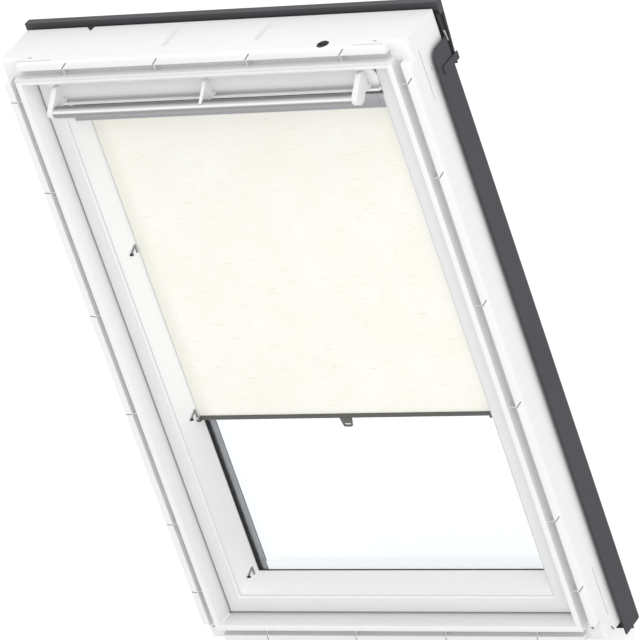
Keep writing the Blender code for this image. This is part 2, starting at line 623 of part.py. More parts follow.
def sash(axis):
    """White sash: a bottom rail, two stiles and a top rail that is hollowed for the vent flap."""
    piece("sash_bottom_rail", member("sill", sash_outline(REBATE - GLASS_DROP)), WHITE_COAT, axis)
    for name, x_sign in SIDES:
        stile = piece("sash_stile_" + name, member(name, sash_outline(REBATE), end=SASH_TOP),
                      WHITE_COAT, axis)
        room = rectangle((0, VENT_POCKET_LOW), (FLAP_ROOM, SASH_TOP + PAST))
        cut(stile, both_ways(prism(room, "Y", 0, VENT_POCKET_FLOOR), x_sign), axis)
        pocket = PIVOT_PLATE + 2 * CLEAR
        cut(stile, between(plate_outline(CLEAR), x_sign, SASH_START - PAST, SASH_START + pocket),
            axis)
        hole = circle(FLAP_AXIS, FLAP_PIN_RADIUS + CLEAR, 12)
        cut(stile, both_ways(prism(hole, "X", FLAP_ROOM - PAST,
                                   FLAP_ROOM + FLAP_PIN_REACH + CLEAR), x_sign), axis)
    nose = SASH_START + RAIL_NOSE
    outline = [(SASH_START, SASH_BACK), (SASH_START, SASH_FRONT), (nose, SASH_FRONT),
               (nose, VENT_POCKET_FLOOR), (RAIL_LOW, VENT_POCKET_FLOOR),
               (GLASS_START, GLASS_LIP_FRONT), (GLASS_START, GLASS_LIP_BACK),
               (REBATE, GLASS_LIP_BACK), (REBATE, SASH_BACK)]
    long = HALF_WIDTH - SASH_START
    rail = piece("sash_top_rail",
                 prism([(depth, FRAME_HEIGHT - inset) for inset, depth in outline],
                       "X", -long, long), WHITE_COAT, axis)
    past_lip = GLASS_START + 2 * CLEAR
    beside = [(SASH_START - PAST, 0), (FACE_END + CLEAR, 0),
              (FACE_END + CLEAR, VENT_POCKET_FLOOR - CLEAR),
              (slope_inset(VENT_POCKET_FLOOR) + 2 * CLEAR, VENT_POCKET_FLOOR - CLEAR),
              (past_lip, GLASS_LIP_FRONT), (past_lip, GLASS_LIP_BACK + CLEAR),
              (REBATE + CLEAR, GLASS_LIP_BACK + CLEAR), (REBATE + CLEAR, SASH_BACK + PAST),
              (SASH_START - PAST, SASH_BACK + PAST)]
    for _, x_sign in SIDES:
        stile_room = [(HALF_WIDTH - inset, depth) for inset, depth in beside]
        cut(rail, both_ways(prism(stile_room, "Z", VENT_POCKET_LOW - PAST, SASH_TOP + PAST),
                            x_sign), axis)
    lock_room = rectangle((-LOCK_HALF - CLEAR, LOCK_LOW - CLEAR),
                          (LOCK_HALF + CLEAR, LOCK_HIGH + CLEAR))
    cut(rail, prism(lock_room, "Y", 0, VENT_POCKET_FLOOR + LOCK_DEPTH), axis)
    bolt_room = rectangle((-BOLT_HALF - CLEAR, LOCK_HIGH), (BOLT_HALF + CLEAR, SASH_TOP + PAST))
    half = BOLT_THICKNESS / 2
    cut(rail, prism(bolt_room, "Y", BOLT_AT - half - CLEAR, BOLT_AT + half + CLEAR), axis)
    case = rectangle((-LOCK_HALF, LOCK_LOW), (LOCK_HALF, LOCK_HIGH))
    piece("lock_case", prism(case, "Y", VENT_POCKET_FLOOR, VENT_POCKET_FLOOR + LOCK_DEPTH - CLEAR),
          ZINC, axis)
    bolt = rectangle((-BOLT_HALF, LOCK_HIGH + CLEAR), (BOLT_HALF, SASH_TOP - CLEAR))
    piece("latch_bolt", prism(bolt, "Y", BOLT_AT - half, BOLT_AT + half), ZINC, axis)


def glazing(axis):
    """Two panes with a metal spacer between them, a gasket in front and a seal round the sash."""
    gasket_start = GLASS_START + GASKET_SHOWS - GASKET_WIDTH
    gasket = rectangle((gasket_start, GASKET_FRONT),
                       (gasket_start + GASKET_WIDTH, GASKET_FRONT + GASKET_THICKNESS))
    piece("glazing_gasket", hoop(gasket, GASKET_DROP), BLACK_RUBBER, axis)
    edge = REBATE + PANE_EDGE
    pane = rectangle((edge - HALF_WIDTH, edge - GLASS_DROP),
                     (HALF_WIDTH - edge, FRAME_HEIGHT - edge))
    piece("inner_pane", prism(pane, "Y", INNER_PANE, INNER_PANE + PANE), GLASS, axis)
    piece("outer_pane", prism(pane, "Y", OUTER_PANE, OUTER_PANE + PANE), GLASS, axis)
    spacer_end = GLASS_START + GASKET_SHOWS + SPACER_SHOWS
    spacer = rectangle((spacer_end - SPACER_WIDTH, SPACER_FRONT),
                       (spacer_end, SPACER_FRONT + SPACER_DEPTH))
    piece("pane_spacer", hoop(spacer, SPACER_DROP), ALUMINIUM, axis)
    piece("sash_seal", hoop(rectangle((SASH_START - CLEAR - SEAL_WIDTH, SEAL_START),
                                      (SASH_START - CLEAR, SEAL_END))), BLACK_RUBBER, axis)
    start = SASH_START + SASH_COVER_START
    front = SASH_BACK + CLEAR
    back = front + SASH_COVER_THICKNESS
    hold = OUTER_PANE + PANE + CLEAR
    for side, name in (("head", "top"), ("sill", "bottom"), ("left", "left"), ("right", "right")):
        end = start + (SASH_COVER_WIDTH_LOW if side == "sill" else SASH_COVER_WIDTH)
        outline = [(start, front), (start, back), (end, back), (end, hold),
                   (end - SASH_COVER_EDGE, hold), (end - SASH_COVER_EDGE, front)]
        piece("sash_cover_" + name, member(side, outline), GREY_COVER, axis)


def flap_point(angle, radius):
    """A (depth, height) point round the centre of the flap's hollow face."""
    turn = math.radians(angle)
    return (FLAP_CENTRE[0] + radius * math.cos(turn), FLAP_CENTRE[1] + radius * math.sin(turn))


def vent(axis):
    """Vent flap behind the control bar, which three brackets hold out from it."""
    lip_back = FLAP_LIP + FLAP_LIP_HALF
    foot = (FLAP_AXIS[0] - FLAP_FOOT, FLAP_AXIS[1] - FLAP_FOOT)
    flap_outline = [
        *arc(FLAP_CENTRE, FLAP_RADIUS, FLAP_TOP_ANGLE, FLAP_LOW_ANGLE, 9),
        (lip_back, FLAP_LIP_HEIGHT + FLAP_LIP_HALF), (FLAP_LIP, FLAP_LIP_HEIGHT),
        (lip_back, FLAP_LIP_HEIGHT - FLAP_LIP_HALF), foot, (FLAP_FOOT_END, foot[1]),
        (FLAP_FOOT_END, FLAP_AXIS[1] + FLAP_FOOT),
        *arc(FLAP_CENTRE, FLAP_RADIUS + FLAP_SHEET, FLAP_LOW_ANGLE, FLAP_TOP_ANGLE, 9)]
    flap = piece("vent_flap", prism(flap_outline, "X", -FLAP_HALF, FLAP_HALF), WHITE_COAT, axis,
                 smooth=True)
    pin_end = FLAP_ROOM + FLAP_PIN_REACH
    for _, x_sign in SIDES:
        join(flap, both_ways(prism(circle(FLAP_AXIS, FLAP_PIN_RADIUS, 12), "X",
                                   FLAP_HALF - FLAP_PIN_REACH, pin_end), x_sign), axis)
    bar_half = BRACKET_OUTER - BRACKET_WIDTH - CLEAR
    piece("control_bar", prism(from_sash_top(BAR_SECTION), "X", -bar_half, bar_half), ALUMINIUM, axis,
          smooth=True)
    seat = arc(FLAP_CENTRE, FLAP_RADIUS - CLEAR, *BRACKET_SEAT_ANGLES, 3)
    end_outline = [*seat, *from_sash_top(BRACKET_ARM + BRACKET_NOSE + BRACKET_FOOT)]
    for name, x_sign in SIDES:
        piece("bar_bracket_" + name,
              both_ways(prism(end_outline, "X", BRACKET_OUTER - BRACKET_WIDTH, BRACKET_OUTER),
                        x_sign), WHITE_PLASTIC, axis)
    half = BRACKET_MIDDLE_WIDTH / 2
    outline = [*seat, *from_sash_top(BRACKET_ARM + BRACKET_OVER_BAR + BRACKET_FOOT)]
    piece("bar_bracket_middle", prism(outline, "X", -half, half), WHITE_PLASTIC, axis)


def headrail(axis):
    """Open box section over the roller, between two end brackets on the stiles."""
    sheet = HEADRAIL_SHEET
    rear_low = HEADRAIL_HIGH - HEADRAIL_REAR_LEG
    outline = [(HEADRAIL_FRONT, HEADRAIL_LOW), (HEADRAIL_FRONT, HEADRAIL_HIGH),
               (HEADRAIL_BACK, HEADRAIL_HIGH), (HEADRAIL_BACK, rear_low),
               (HEADRAIL_BACK - sheet, rear_low), (HEADRAIL_BACK - sheet, HEADRAIL_HIGH - sheet),
               (HEADRAIL_FRONT + sheet, HEADRAIL_HIGH - sheet),
               (HEADRAIL_FRONT + sheet, HEADRAIL_LOW + sheet),
               (HEADRAIL_MOUTH, HEADRAIL_LOW + sheet), (HEADRAIL_MOUTH, HEADRAIL_LOW)]
    half = BRACKET_INNER - CLEAR
    piece("headrail", prism(outline, "X", -half, half), ALUMINIUM, axis)
    wedge = [(BRACKET_INNER, HEADRAIL_FRONT), (slope_x(HEADRAIL_FRONT) - CLEAR, HEADRAIL_FRONT),
             (slope_x(BRACKET_REAR) - CLEAR, BRACKET_REAR), (BRACKET_INNER, BRACKET_REAR)]
    pin_hole = circle((ROLLER_AT, ROLLER_HEIGHT), SPINDLE_RADIUS + CLEAR, 16)
    for name, x_sign in SIDES:
        bracket = piece("blind_bracket_" + name,
                        both_ways(prism(wedge, "Z", HEADRAIL_LOW, HEADRAIL_HIGH), x_sign),
                        ALUMINIUM, axis)
        cut(bracket, both_ways(prism(pin_hole, "X", BRACKET_INNER - PAST,
                                     BRACKET_INNER + PIN_REACH + CLEAR), x_sign), axis)
    rod = circle((ROLLER_AT, ROLLER_HEIGHT), SPINDLE_RADIUS, 16)
    piece("spring_spindle", prism(rod, "X", -BRACKET_INNER - PIN_REACH, SPRING_HALF), ZINC, axis,
          smooth=True)


def roller(axis):
    """Tube with the wound fabric on it, the winding spring inside and a plug in each end."""
    centre = (ROLLER_AT, ROLLER_HEIGHT)
    bore = TUBE_RADIUS - TUBE_WALL
    piece("roller_tube", tube(TUBE_RADIUS, bore, centre, -BLIND_HALF, BLIND_HALF), ALUMINIUM,
          axis, smooth=True)
    piece("wound_fabric", tube(ROLL_RADIUS, TUBE_RADIUS + CLEAR, centre, -BLIND_HALF, BLIND_HALF),
          CREAM_FABRIC, axis, smooth=True)
    inner = SPINDLE_RADIUS + CLEAR
    piece("winding_spring", tube(bore - CLEAR, inner, centre, -SPRING_HALF, SPRING_HALF), ZINC,
          axis, smooth=True)
    piece("spring_end_plug", tube(bore - CLEAR, inner, centre, -BLIND_HALF,
                                  PLUG_LENGTH - BLIND_HALF), BLACK_PLASTIC, axis, smooth=True)
    plug = piece("pin_end_plug", prism(circle(centre, bore - CLEAR), "X",
                                       BLIND_HALF - PLUG_LENGTH, BLIND_HALF), BLACK_PLASTIC,
                 axis, smooth=True)
    join(plug, prism(circle(centre, SPINDLE_RADIUS, 16), "X", BLIND_HALF - PLUG_LENGTH / 2,
                     BRACKET_INNER + PIN_REACH), axis)


def fabric(axis):
    """The drawn stretch of the fabric, taut between the roller and the bottom bar."""
    low = BLIND_BOTTOM + BOTTOM_BAR_HEIGHT + CLEAR
    piece("fabric", prism(rectangle((-BLIND_HALF, low), (BLIND_HALF, ROLLER_HEIGHT)), "Y",
                          FABRIC_FRONT, FABRIC_BACK), CREAM_FABRIC, axis)


def bottom_bar(axis):
    """Bar in the fabric's hem, with end caps whose pins go under the hooks, and a pull tab."""
    top = BLIND_BOTTOM + BOTTOM_BAR_HEIGHT
    outline = clipped((BOTTOM_BAR_FRONT, BLIND_BOTTOM), (BOTTOM_BAR_BACK, top), BOTTOM_BAR_ROUND)
    piece("bottom_bar", prism(outline, "X", -BOTTOM_BAR_HALF, BOTTOM_BAR_HALF), GREY_BAR, axis)
    start = BOTTOM_BAR_HALF + CLEAR
    end = start + CAP_THICKNESS
    cap = [(GUIDE_PIN_AT - CAP_EDGE, BLIND_BOTTOM), (BOTTOM_BAR_BACK, BLIND_BOTTOM),
           (BOTTOM_BAR_BACK, top), (BOTTOM_BAR_FRONT, top),
           (GUIDE_PIN_AT - CAP_EDGE, GUIDE_PIN_HEIGHT + CAP_EDGE)]
    pin = circle((GUIDE_PIN_AT, GUIDE_PIN_HEIGHT), GUIDE_PIN_RADIUS, 12)
    for name, x_sign in SIDES:
        found = piece("bar_cap_" + name, both_ways(prism(cap, "X", start, end), x_sign), GREY_BAR,
                      axis)
        join(found, both_ways(prism(pin, "X", start + CAP_THICKNESS / 2, end + GUIDE_PIN_LENGTH),
                              x_sign), axis)
    low = TAB_TOP - TAB_LENGTH
    outline = [(TAB_TOP_HALF, TAB_TOP), (TAB_LOW_HALF, low + TAB_CORNER),
               (TAB_LOW_HALF - TAB_CORNER, low), (TAB_CORNER - TAB_LOW_HALF, low),
               (-TAB_LOW_HALF, low + TAB_CORNER), (-TAB_TOP_HALF, TAB_TOP)]
    tab = piece("pull_tab", prism(outline, "Y", TAB_FRONT, TAB_FRONT + TAB_THICKNESS), GREY_BAR,
                axis)
    slot = rectangle((-TAB_SLOT_HALF, low + TAB_SLOT_UP),
                     (TAB_SLOT_HALF, low + TAB_SLOT_UP + TAB_SLOT_HEIGHT))
    cut(tab, prism(slot, "Y", TAB_FRONT - PAST, TAB_FRONT + PAST), axis)


def on_slope(outline, height, near, far):
    """A (depth, height) outline laid on a stile's sloping face, between two distances from it."""
    run = math.hypot(SLOPE_WIDTH, SLOPE_DROP) / SLOPE_DROP
    return loft([[(slope_x(depth) - off * run, depth, height + up) for depth, up in outline]
                 for off in (near, far)])


def hooks(axis):
    """Three bent hooks on each stile that hold the bottom bar's pins at three heights."""
    wire = HOOK_WIRE
    foot = (HOOK_FOOT_AT, -HOOK_FOOT_DROP)
    bend = HOOK_BEND + wire / 2
    outline = [(foot[0] - wire / 2, foot[1] + wire / 3), (bend - wire, wire / 2), (bend, wire / 2),
               (bend, -HOOK_LEG), (bend - wire, -HOOK_LEG), (bend - wire, -wire),
               (foot[0] + wire / 3, foot[1] - wire / 2)]
    for name, x_sign in SIDES:
        for level, height in HOOK_HEIGHTS.items():
            shape = both_ways(on_slope(outline, height, CLEAR, CLEAR + HOOK_THICKNESS), x_sign)
            hook = piece(f"hook_{level}_{name}", shape, ZINC, axis)
            knob = on_slope(circle(foot, KNOB_RADIUS, 10), height, CLEAR, CLEAR + KNOB_HEIGHT)
            join(hook, both_ways(knob, x_sign), axis)


clear_scene()
frame_axis = axis_empty("frame_origin", FRAME_DEPTH / 2, 0)
sash_axis = axis_empty("sash_pivot_axis", PIVOT_AT, PIVOT_HEIGHT)
flap_axis = axis_empty("vent_flap_axis", *FLAP_AXIS)
roller_axis = axis_empty("roller_axis", ROLLER_AT, ROLLER_HEIGHT)
bar_axis = axis_empty("blind_travel_axis", HOOK_BEND, BLIND_BOTTOM)
frame(frame_axis)
frame_covers(frame_axis)
pivots(frame_axis, sash_axis)
sash(sash_axis)
glazing(sash_axis)
vent(flap_axis)
headrail(sash_axis)
roller(roller_axis)
fabric(sash_axis)
bottom_bar(bar_axis)
hooks(sash_axis)
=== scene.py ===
import math

import bmesh
import bpy
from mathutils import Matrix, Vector


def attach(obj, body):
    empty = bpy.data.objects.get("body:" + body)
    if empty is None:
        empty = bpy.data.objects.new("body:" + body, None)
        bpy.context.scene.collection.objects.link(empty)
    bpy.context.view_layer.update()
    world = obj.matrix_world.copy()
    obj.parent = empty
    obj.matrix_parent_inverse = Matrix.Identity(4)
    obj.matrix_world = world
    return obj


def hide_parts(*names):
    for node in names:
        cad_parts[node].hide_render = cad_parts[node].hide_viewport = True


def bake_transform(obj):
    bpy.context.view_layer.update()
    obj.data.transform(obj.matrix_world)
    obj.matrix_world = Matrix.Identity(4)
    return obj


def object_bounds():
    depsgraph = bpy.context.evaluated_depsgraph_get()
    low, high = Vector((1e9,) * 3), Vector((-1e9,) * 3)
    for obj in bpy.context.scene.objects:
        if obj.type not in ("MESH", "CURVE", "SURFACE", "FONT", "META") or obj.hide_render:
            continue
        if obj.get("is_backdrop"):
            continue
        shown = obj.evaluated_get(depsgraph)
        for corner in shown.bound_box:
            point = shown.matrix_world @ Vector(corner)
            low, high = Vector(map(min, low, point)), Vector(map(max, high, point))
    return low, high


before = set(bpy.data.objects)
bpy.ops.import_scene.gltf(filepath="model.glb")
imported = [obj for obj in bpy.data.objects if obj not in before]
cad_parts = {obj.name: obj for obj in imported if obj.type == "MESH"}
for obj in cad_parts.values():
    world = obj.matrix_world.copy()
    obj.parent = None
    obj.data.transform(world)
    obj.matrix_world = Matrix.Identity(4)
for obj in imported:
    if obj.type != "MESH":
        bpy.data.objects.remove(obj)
cad_low, cad_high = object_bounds()
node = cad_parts
MM = 0.001
bpy.context.scene.view_settings.view_transform = "Standard"


# Camera
# The window is seen from the room, from above and from its right, with a long lens. The camera
# is rolled, so that the window leans to the left as it does in a sloping roof.
CAMERA_AT = (4.90514, -6.75230, 4.67853)
CAMERA_TURN = (62.1275, 17.2225, 27.0039)
LENS = 373.995
SENSOR = 36


def linked(name, data):
    """A new object in the scene."""
    found = bpy.data.objects.new(name, data)
    bpy.context.scene.collection.objects.link(found)
    return found


camera = linked("camera", bpy.data.cameras.new("camera"))
camera.data.sensor_width = SENSOR
camera.data.lens = LENS
camera.location = CAMERA_AT
camera.rotation_euler = [math.radians(turn) for turn in CAMERA_TURN]
bpy.context.scene.camera = camera


# Floor and light
# A pale studio floor under the window, an even sky and two wide soft lamps on the room side. The
# floor and the sky look white to the camera and behind glass, and the floor keeps the shadow.
SKY = 0.98
FLOOR_SIZE = 40
FLOOR_AT = cad_low.z - 1 * MM
LAMP_AIM = Vector((0, 0, 0.5))


def add(tree, kind, sockets=(), **settings):
    """A new node with these settings, whose sockets are given links or values."""
    found = tree.nodes.new(kind)
    for label, value in settings.items():
        setattr(found, label, value)
    for label, value in dict(sockets).items():
        if isinstance(value, bpy.types.NodeSocket):
            tree.links.new(value, found.inputs[label])
        else:
            found.inputs[label].default_value = value
    return found


def maths(tree, operation, *values):
    """The result of a maths node."""
    return add(tree, "ShaderNodeMath", dict(enumerate(values)), operation=operation).outputs[0]


def new_material(name, values):
    """A material with these values on its shader, together with its node tree and shader."""
    material = bpy.data.materials.new(name)
    material.use_nodes = True
    shader = material.node_tree.nodes["Principled BSDF"]
    for label, value in values.items():
        shader.inputs[label].default_value = value
    return material, material.node_tree, shader


def shown_as(tree, lit, seen, output):
    """One shader for the light that falls on things, and another for what the camera, a mirror
    or glass shows."""
    path = tree.nodes.new("ShaderNodeLightPath")
    direct = path.outputs["Is Camera Ray"]
    for ray in ("Is Glossy Ray", "Is Transmission Ray"):
        direct = maths(tree, "MAXIMUM", direct, path.outputs[ray])
    mix = add(tree, "ShaderNodeMixShader", {"Fac": direct, 1: lit.outputs[0], 2: seen.outputs[0]})
    tree.links.new(mix.outputs[0], tree.nodes[output].inputs["Surface"])


sky = bpy.data.worlds.new("sky")
bpy.context.scene.world = sky
sky.use_nodes = True
tree = sky.node_tree
even = tree.nodes["Background"]
even.inputs["Color"].default_value = (1, 1, 1, 1)
even.inputs["Strength"].default_value = SKY
white = add(tree, "ShaderNodeBackground", {"Color": (1, 1, 1, 1), "Strength": 1})
shown_as(tree, even, white, "World Output")

floor_finish, tree, plain = new_material(
    "studio_floor", {"Base Color": (0.8, 0.8, 0.8, 1), "Roughness": 0.9})
shade = add(tree, "ShaderNodeBsdfDiffuse", {"Color": (0.3, 0.3, 0.3, 1)})
glow = add(tree, "ShaderNodeEmission", {"Strength": 0.8})
paper = add(tree, "ShaderNodeAddShader", {0: shade.outputs[0], 1: glow.outputs[0]})
shown_as(tree, plain, paper, "Material Output")
floor_mesh = bpy.data.meshes.new("studio_floor")
floor_mesh.from_pydata([(a * FLOOR_SIZE, b * FLOOR_SIZE, FLOOR_AT)
                        for a, b in ((-1, -1), (1, -1), (1, 1), (-1, 1))], [], [(0, 1, 2, 3)])
floor_mesh.materials.append(floor_finish)
floor = linked("studio_floor", floor_mesh)
floor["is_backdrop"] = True


def soft_lamp(name, at, size, power):
    """A wide lamp that faces the middle of the window."""
    lamp = linked(name, bpy.data.lights.new(name, "AREA"))
    lamp.data.shape = "DISK"
    lamp.data.size = size
    lamp.data.energy = power
    lamp.location = at
    lamp.rotation_euler = (LAMP_AIM - Vector(at)).to_track_quat("-Z", "Y").to_euler()


soft_lamp("overhead_lamp", (0.6, -0.9, 3.8), 2.0, 11)
soft_lamp("room_lamp", (2.4, -3.2, 1.8), 2.5, 26)


# Frame members
# Four white members of moulded plastic on a wooden core, mitred and closed at the corners so that
# they read as one moulding. A flange, a groove for the reveal lining and a lip face the room.
FRAME_WIDTH = 660 * MM
FRAME_HEIGHT = 978 * MM
FRAME_DEPTH = 95 * MM
HALF_WIDTH = FRAME_WIDTH / 2
WALL = 40.7 * MM
SILL_WALL = 38.9 * MM
# The flange stops before each corner and fades out there in steps.
FLANGE_STOP = 28 * MM
FLANGE_FADE = 2.4 * MM
FADE_STEPS = (0, 0.2, 0.4, 0.6, 0.8, 1)
TONGUE_ROUND = 5 * MM
TONGUE_REACH = 8 * MM
MITRE_STEP = 0.05 * MM
NEAR_RINGS = (60 * MM, 90 * MM)
FAR_RINGS = (70 * MM, 45 * MM)
# The jambs' outer faces are set in behind the side covers, and each end of the step is eased.
RECESS = 1 * MM
RECESS_FROM, FROM_EASE = 36 * MM, 24 * MM
RECESS_FOOT, FOOT_EASE = 12 * MM, 30 * MM
RECESS_TOP, TOP_EASE = 935 * MM, 22 * MM


def rounded(corners, steps=3):
    """Outline through (a, b, radius) corners in millimetres, each rounded by its own radius."""
    points = []
    for i, (a, b, radius) in enumerate(corners):
        here = complex(a, b)
        if not radius:
            points.append((a * MM, b * MM))
            continue
        before = complex(*corners[i - 1][:2]) - here
        after = complex(*corners[(i + 1) % len(corners)][:2]) - here
        before /= abs(before)
        after /= abs(after)
        half = math.acos(max(-1, min(1, (before * after.conjugate()).real))) / 2
        middle = before + after
        centre = here + middle / abs(middle) * radius / math.sin(half)
        first = here + before * radius / math.tan(half) - centre
        last = here + after * radius / math.tan(half) - centre
        turn = last / first
        sweep = math.atan2(turn.imag, turn.real)
        for k in range(steps + 1):
            share = sweep * k / steps
            point = centre + first * complex(math.cos(share), math.sin(share))
            points.append((point.real * MM, point.imag * MM))
    return points


def arc(centre, radius, start, end, steps):
    """Points of an arc between two angles in degrees, all in millimetres."""
    turns = [math.radians(start + (end - start) * k / steps) for k in range(steps + 1)]
    return [((centre[0] + radius * math.cos(t)) * MM, (centre[1] + radius * math.sin(t)) * MM)
            for t in turns]


def on_side(side, inset, depth, along):
    """A point of a frame or sash member: inset from the outside, depth from the room side."""
    y = depth - FRAME_DEPTH / 2
    return {"left": (inset - HALF_WIDTH, y, along), "right": (HALF_WIDTH - inset, y, along),
            "sill": (along, y, inset), "head": (along, y, FRAME_HEIGHT - inset)}[side]


def loft(rings):
    """A shell through rings of points, capped at both ends."""
    bm = bmesh.new()
    loops = [[bm.verts.new(point) for point in ring] for ring in rings]
    bm.faces.new(loops[0])
    bm.faces.new(loops[-1])
    for before, after in zip(loops, loops[1:]):
        for i, vertex in enumerate(before):
            j = (i + 1) % len(before)
            bm.faces.new((vertex, before[j], after[j], after[i]))
    bmesh.ops.recalc_face_normals(bm, faces=bm.faces)
    return bm


def oblong(a, b, far_a, far_b):
    """The outline of a rectangle between two opposite corners, in millimetres."""
    return [(a * MM, b * MM), (far_a * MM, b * MM), (far_a * MM, far_b * MM), (a * MM, far_b * MM)]


def prism(outline, along, start, end):
    """An outline pushed along an axis: (depth, height) along X, (x, height) along the depth, or
    (x, depth) along Z."""
    back = FRAME_DEPTH / 2
    place = {"X": lambda s, a, b: (s, a - back, b), "Y": lambda s, a, b: (a, s - back, b),
             "Z": lambda s, a, b: (a, b - back, s)}[along]
    return loft([[place(s, a, b) for a, b in outline] for s in (start, end)])


def mirrored(shape, sign):
    """The same shape on the right or, turned over, on the left."""
    if sign < 0:
        bmesh.ops.scale(shape, vec=(-1, 1, 1), verts=shape.verts)
        bmesh.ops.recalc_face_normals(shape, faces=shape.faces)
    return shape


def together(*shapes):
    """Several closed shells in one mesh."""
    whole = bmesh.new()
    for shape in shapes:
        part = bpy.data.meshes.new("part")
        shape.to_mesh(part)
        shape.free()
        whole.from_mesh(part)
        bpy.data.meshes.remove(part)
    return whole


def show(found, finish, body, stands_for=(), angle=32):
    """Finish a piece: smooth it, give it its material, and fix it to its body. Faces of a second
    material keep it."""
    if len(found.data.materials) < 2:
        found.data.materials.clear()
        found.data.materials.append(finish)
    found.data.shade_smooth()
    found.data.set_sharp_from_angle(angle=math.radians(angle))
    if body:
        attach(found, body)
    if stands_for:
        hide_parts(*stands_for)


def made(name, shape):
    """An object from a shape."""
    mesh = bpy.data.meshes.new(name)
    shape.to_mesh(mesh)
    shape.free()
    return linked(name, mesh)


def settled(found):
    """Turn a piece's modifiers into its mesh."""
    seen = found.evaluated_get(bpy.context.evaluated_depsgraph_get())
    mesh = bpy.data.meshes.new_from_object(seen)
    found.modifiers.clear()
    found.data = mesh
    return found


def cut(found, *shapes, lining=None):
    """Cut shapes out of a piece. The new faces get a given one of its materials, or its first."""
    tool = made("cutter", together(*shapes))
    for material in found.data.materials:
        tool.data.materials.append(material)
    for face in tool.data.polygons:
        face.material_index = found.data.materials.find(lining.name) if lining else 0
    work = found.modifiers.new("cut", "BOOLEAN")
    work.operation = "DIFFERENCE"
    work.solver = "EXACT"
    work.object = tool
    settled(found)
    bpy.data.objects.remove(tool)
    return found


def coated(found, coats, pick):
    """Give each face of a piece the coat that is picked for it."""
    for material in coats:
        found.data.materials.append(material)
    for face in found.data.polygons:
        face.material_index = coats.index(pick(face))
    return found


def node_group(name, inputs, outputs):
    """An empty shader group with named inputs and outputs."""
    group = bpy.data.node_groups.new(name, "ShaderNodeTree")
    for label, kind, value in inputs:
        socket = group.interface.new_socket(label, in_out="INPUT", socket_type=kind)
        if value is not None:
            socket.default_value = value
    for label, kind in outputs:
        group.interface.new_socket(label, in_out="OUTPUT", socket_type=kind)
    return (group, group.nodes.new("NodeGroupInput").outputs,
            group.nodes.new("NodeGroupOutput").inputs)


def noise(tree, scale, detail, vector):
    """The grey of a noise texture."""
    return add(tree, "ShaderNodeTexNoise",
               {"Scale": scale, "Detail": detail, "Vector": vector}).outputs["Fac"]


def ranged(tree, value, low, high, first=0, last=1):
    """A value between first and last spread from low to high."""
    return add(tree, "ShaderNodeMapRange",
               {"Value": value, "From Min": first, "From Max": last, "To Min": low,
                "To Max": high}).outputs["Result"]


def ramp(tree, value, stops):
    """A value turned into greys or colours at given stops, listed in order."""
    steps = add(tree, "ShaderNodeValToRGB", {"Fac": value})
    steps.color_ramp.elements.remove(steps.color_ramp.elements[1])
    steps.color_ramp.elements[0].position = stops[0][0]
    for i, (at, tone) in enumerate(stops):
        stop = steps.color_ramp.elements.new(at) if i else steps.color_ramp.elements[0]
        stop.color = (*tone, 1) if isinstance(tone, tuple) else (tone, tone, tone, 1)
    return steps.outputs["Color"]


def parts_of(tree, place):
    """The X, Y and Z of a texture coordinate."""
    source = tree.nodes.new("ShaderNodeTexCoord")
    return add(tree, "ShaderNodeSeparateXYZ", {0: source.outputs[place]}).outputs


def scaled(tree, colour, amount):
    """A colour scaled by an amount."""
    return add(tree, "ShaderNodeVectorMath", {0: colour, "Scale": amount},
               operation="SCALE").outputs[0]


def bumped(tree, shader, height, strength, distance):
    """Let a height show as relief."""
    relief = add(tree, "ShaderNodeBump",
                 {"Height": height, "Strength": strength, "Distance": distance})
    tree.links.new(relief.outputs[0], shader.inputs["Normal"])


def recoloured(tree, colour):
    """Feed a finish's skin with another colour."""
    group = next(found for found in tree.nodes if found.type == "GROUP")
    tree.links.new(colour, group.inputs["Colour"])


def graded(material, colour, axis, first, last, stops):
    """Scale a finish's colour by stops between two places on an axis, in millimetres."""
    tree = material.node_tree
    along = ranged(tree, parts_of(tree, "Object")[axis], 0, 1, first * MM, last * MM)
    recoloured(tree, scaled(tree, colour, ramp(tree, along, stops)))


# Soft unevenness that every moulded or coated surface has: broad, faint clouds in the colour and
# the gloss, and a fine skin that breaks up the reflections.
CLOUD_GLOSS = 0.12
SKIN_RELIEF = 0.2 * MM
# How far the painted shade in corners and grooves reaches.
SHADE_REACH = 22 * MM
skin, given, results = node_group(
    "moulded_skin",
    [("Colour", "NodeSocketColor", None), ("Cloud Size", "NodeSocketFloat", 6.0),
     ("Cloud Depth", "NodeSocketFloat", 0.03), ("Skin Size", "NodeSocketFloat", 900.0),
     ("Roughness", "NodeSocketFloat", 0.35), ("Vector", "NodeSocketVector", None)],
    [("Colour", "NodeSocketColor"), ("Roughness", "NodeSocketFloat"),
     ("Height", "NodeSocketFloat")])
clouds = noise(skin, given["Cloud Size"], 3, given["Vector"])
darker = maths(skin, "MULTIPLY", clouds, given["Cloud Depth"])
for label, value in (
        ("Colour", scaled(skin, given["Colour"], maths(skin, "SUBTRACT", 1, darker))),
        ("Roughness", maths(skin, "MULTIPLY_ADD", clouds, CLOUD_GLOSS, given["Roughness"])),
        ("Height", noise(skin, given["Skin Size"], 2, given["Vector"]))):
    skin.links.new(value, results[label])


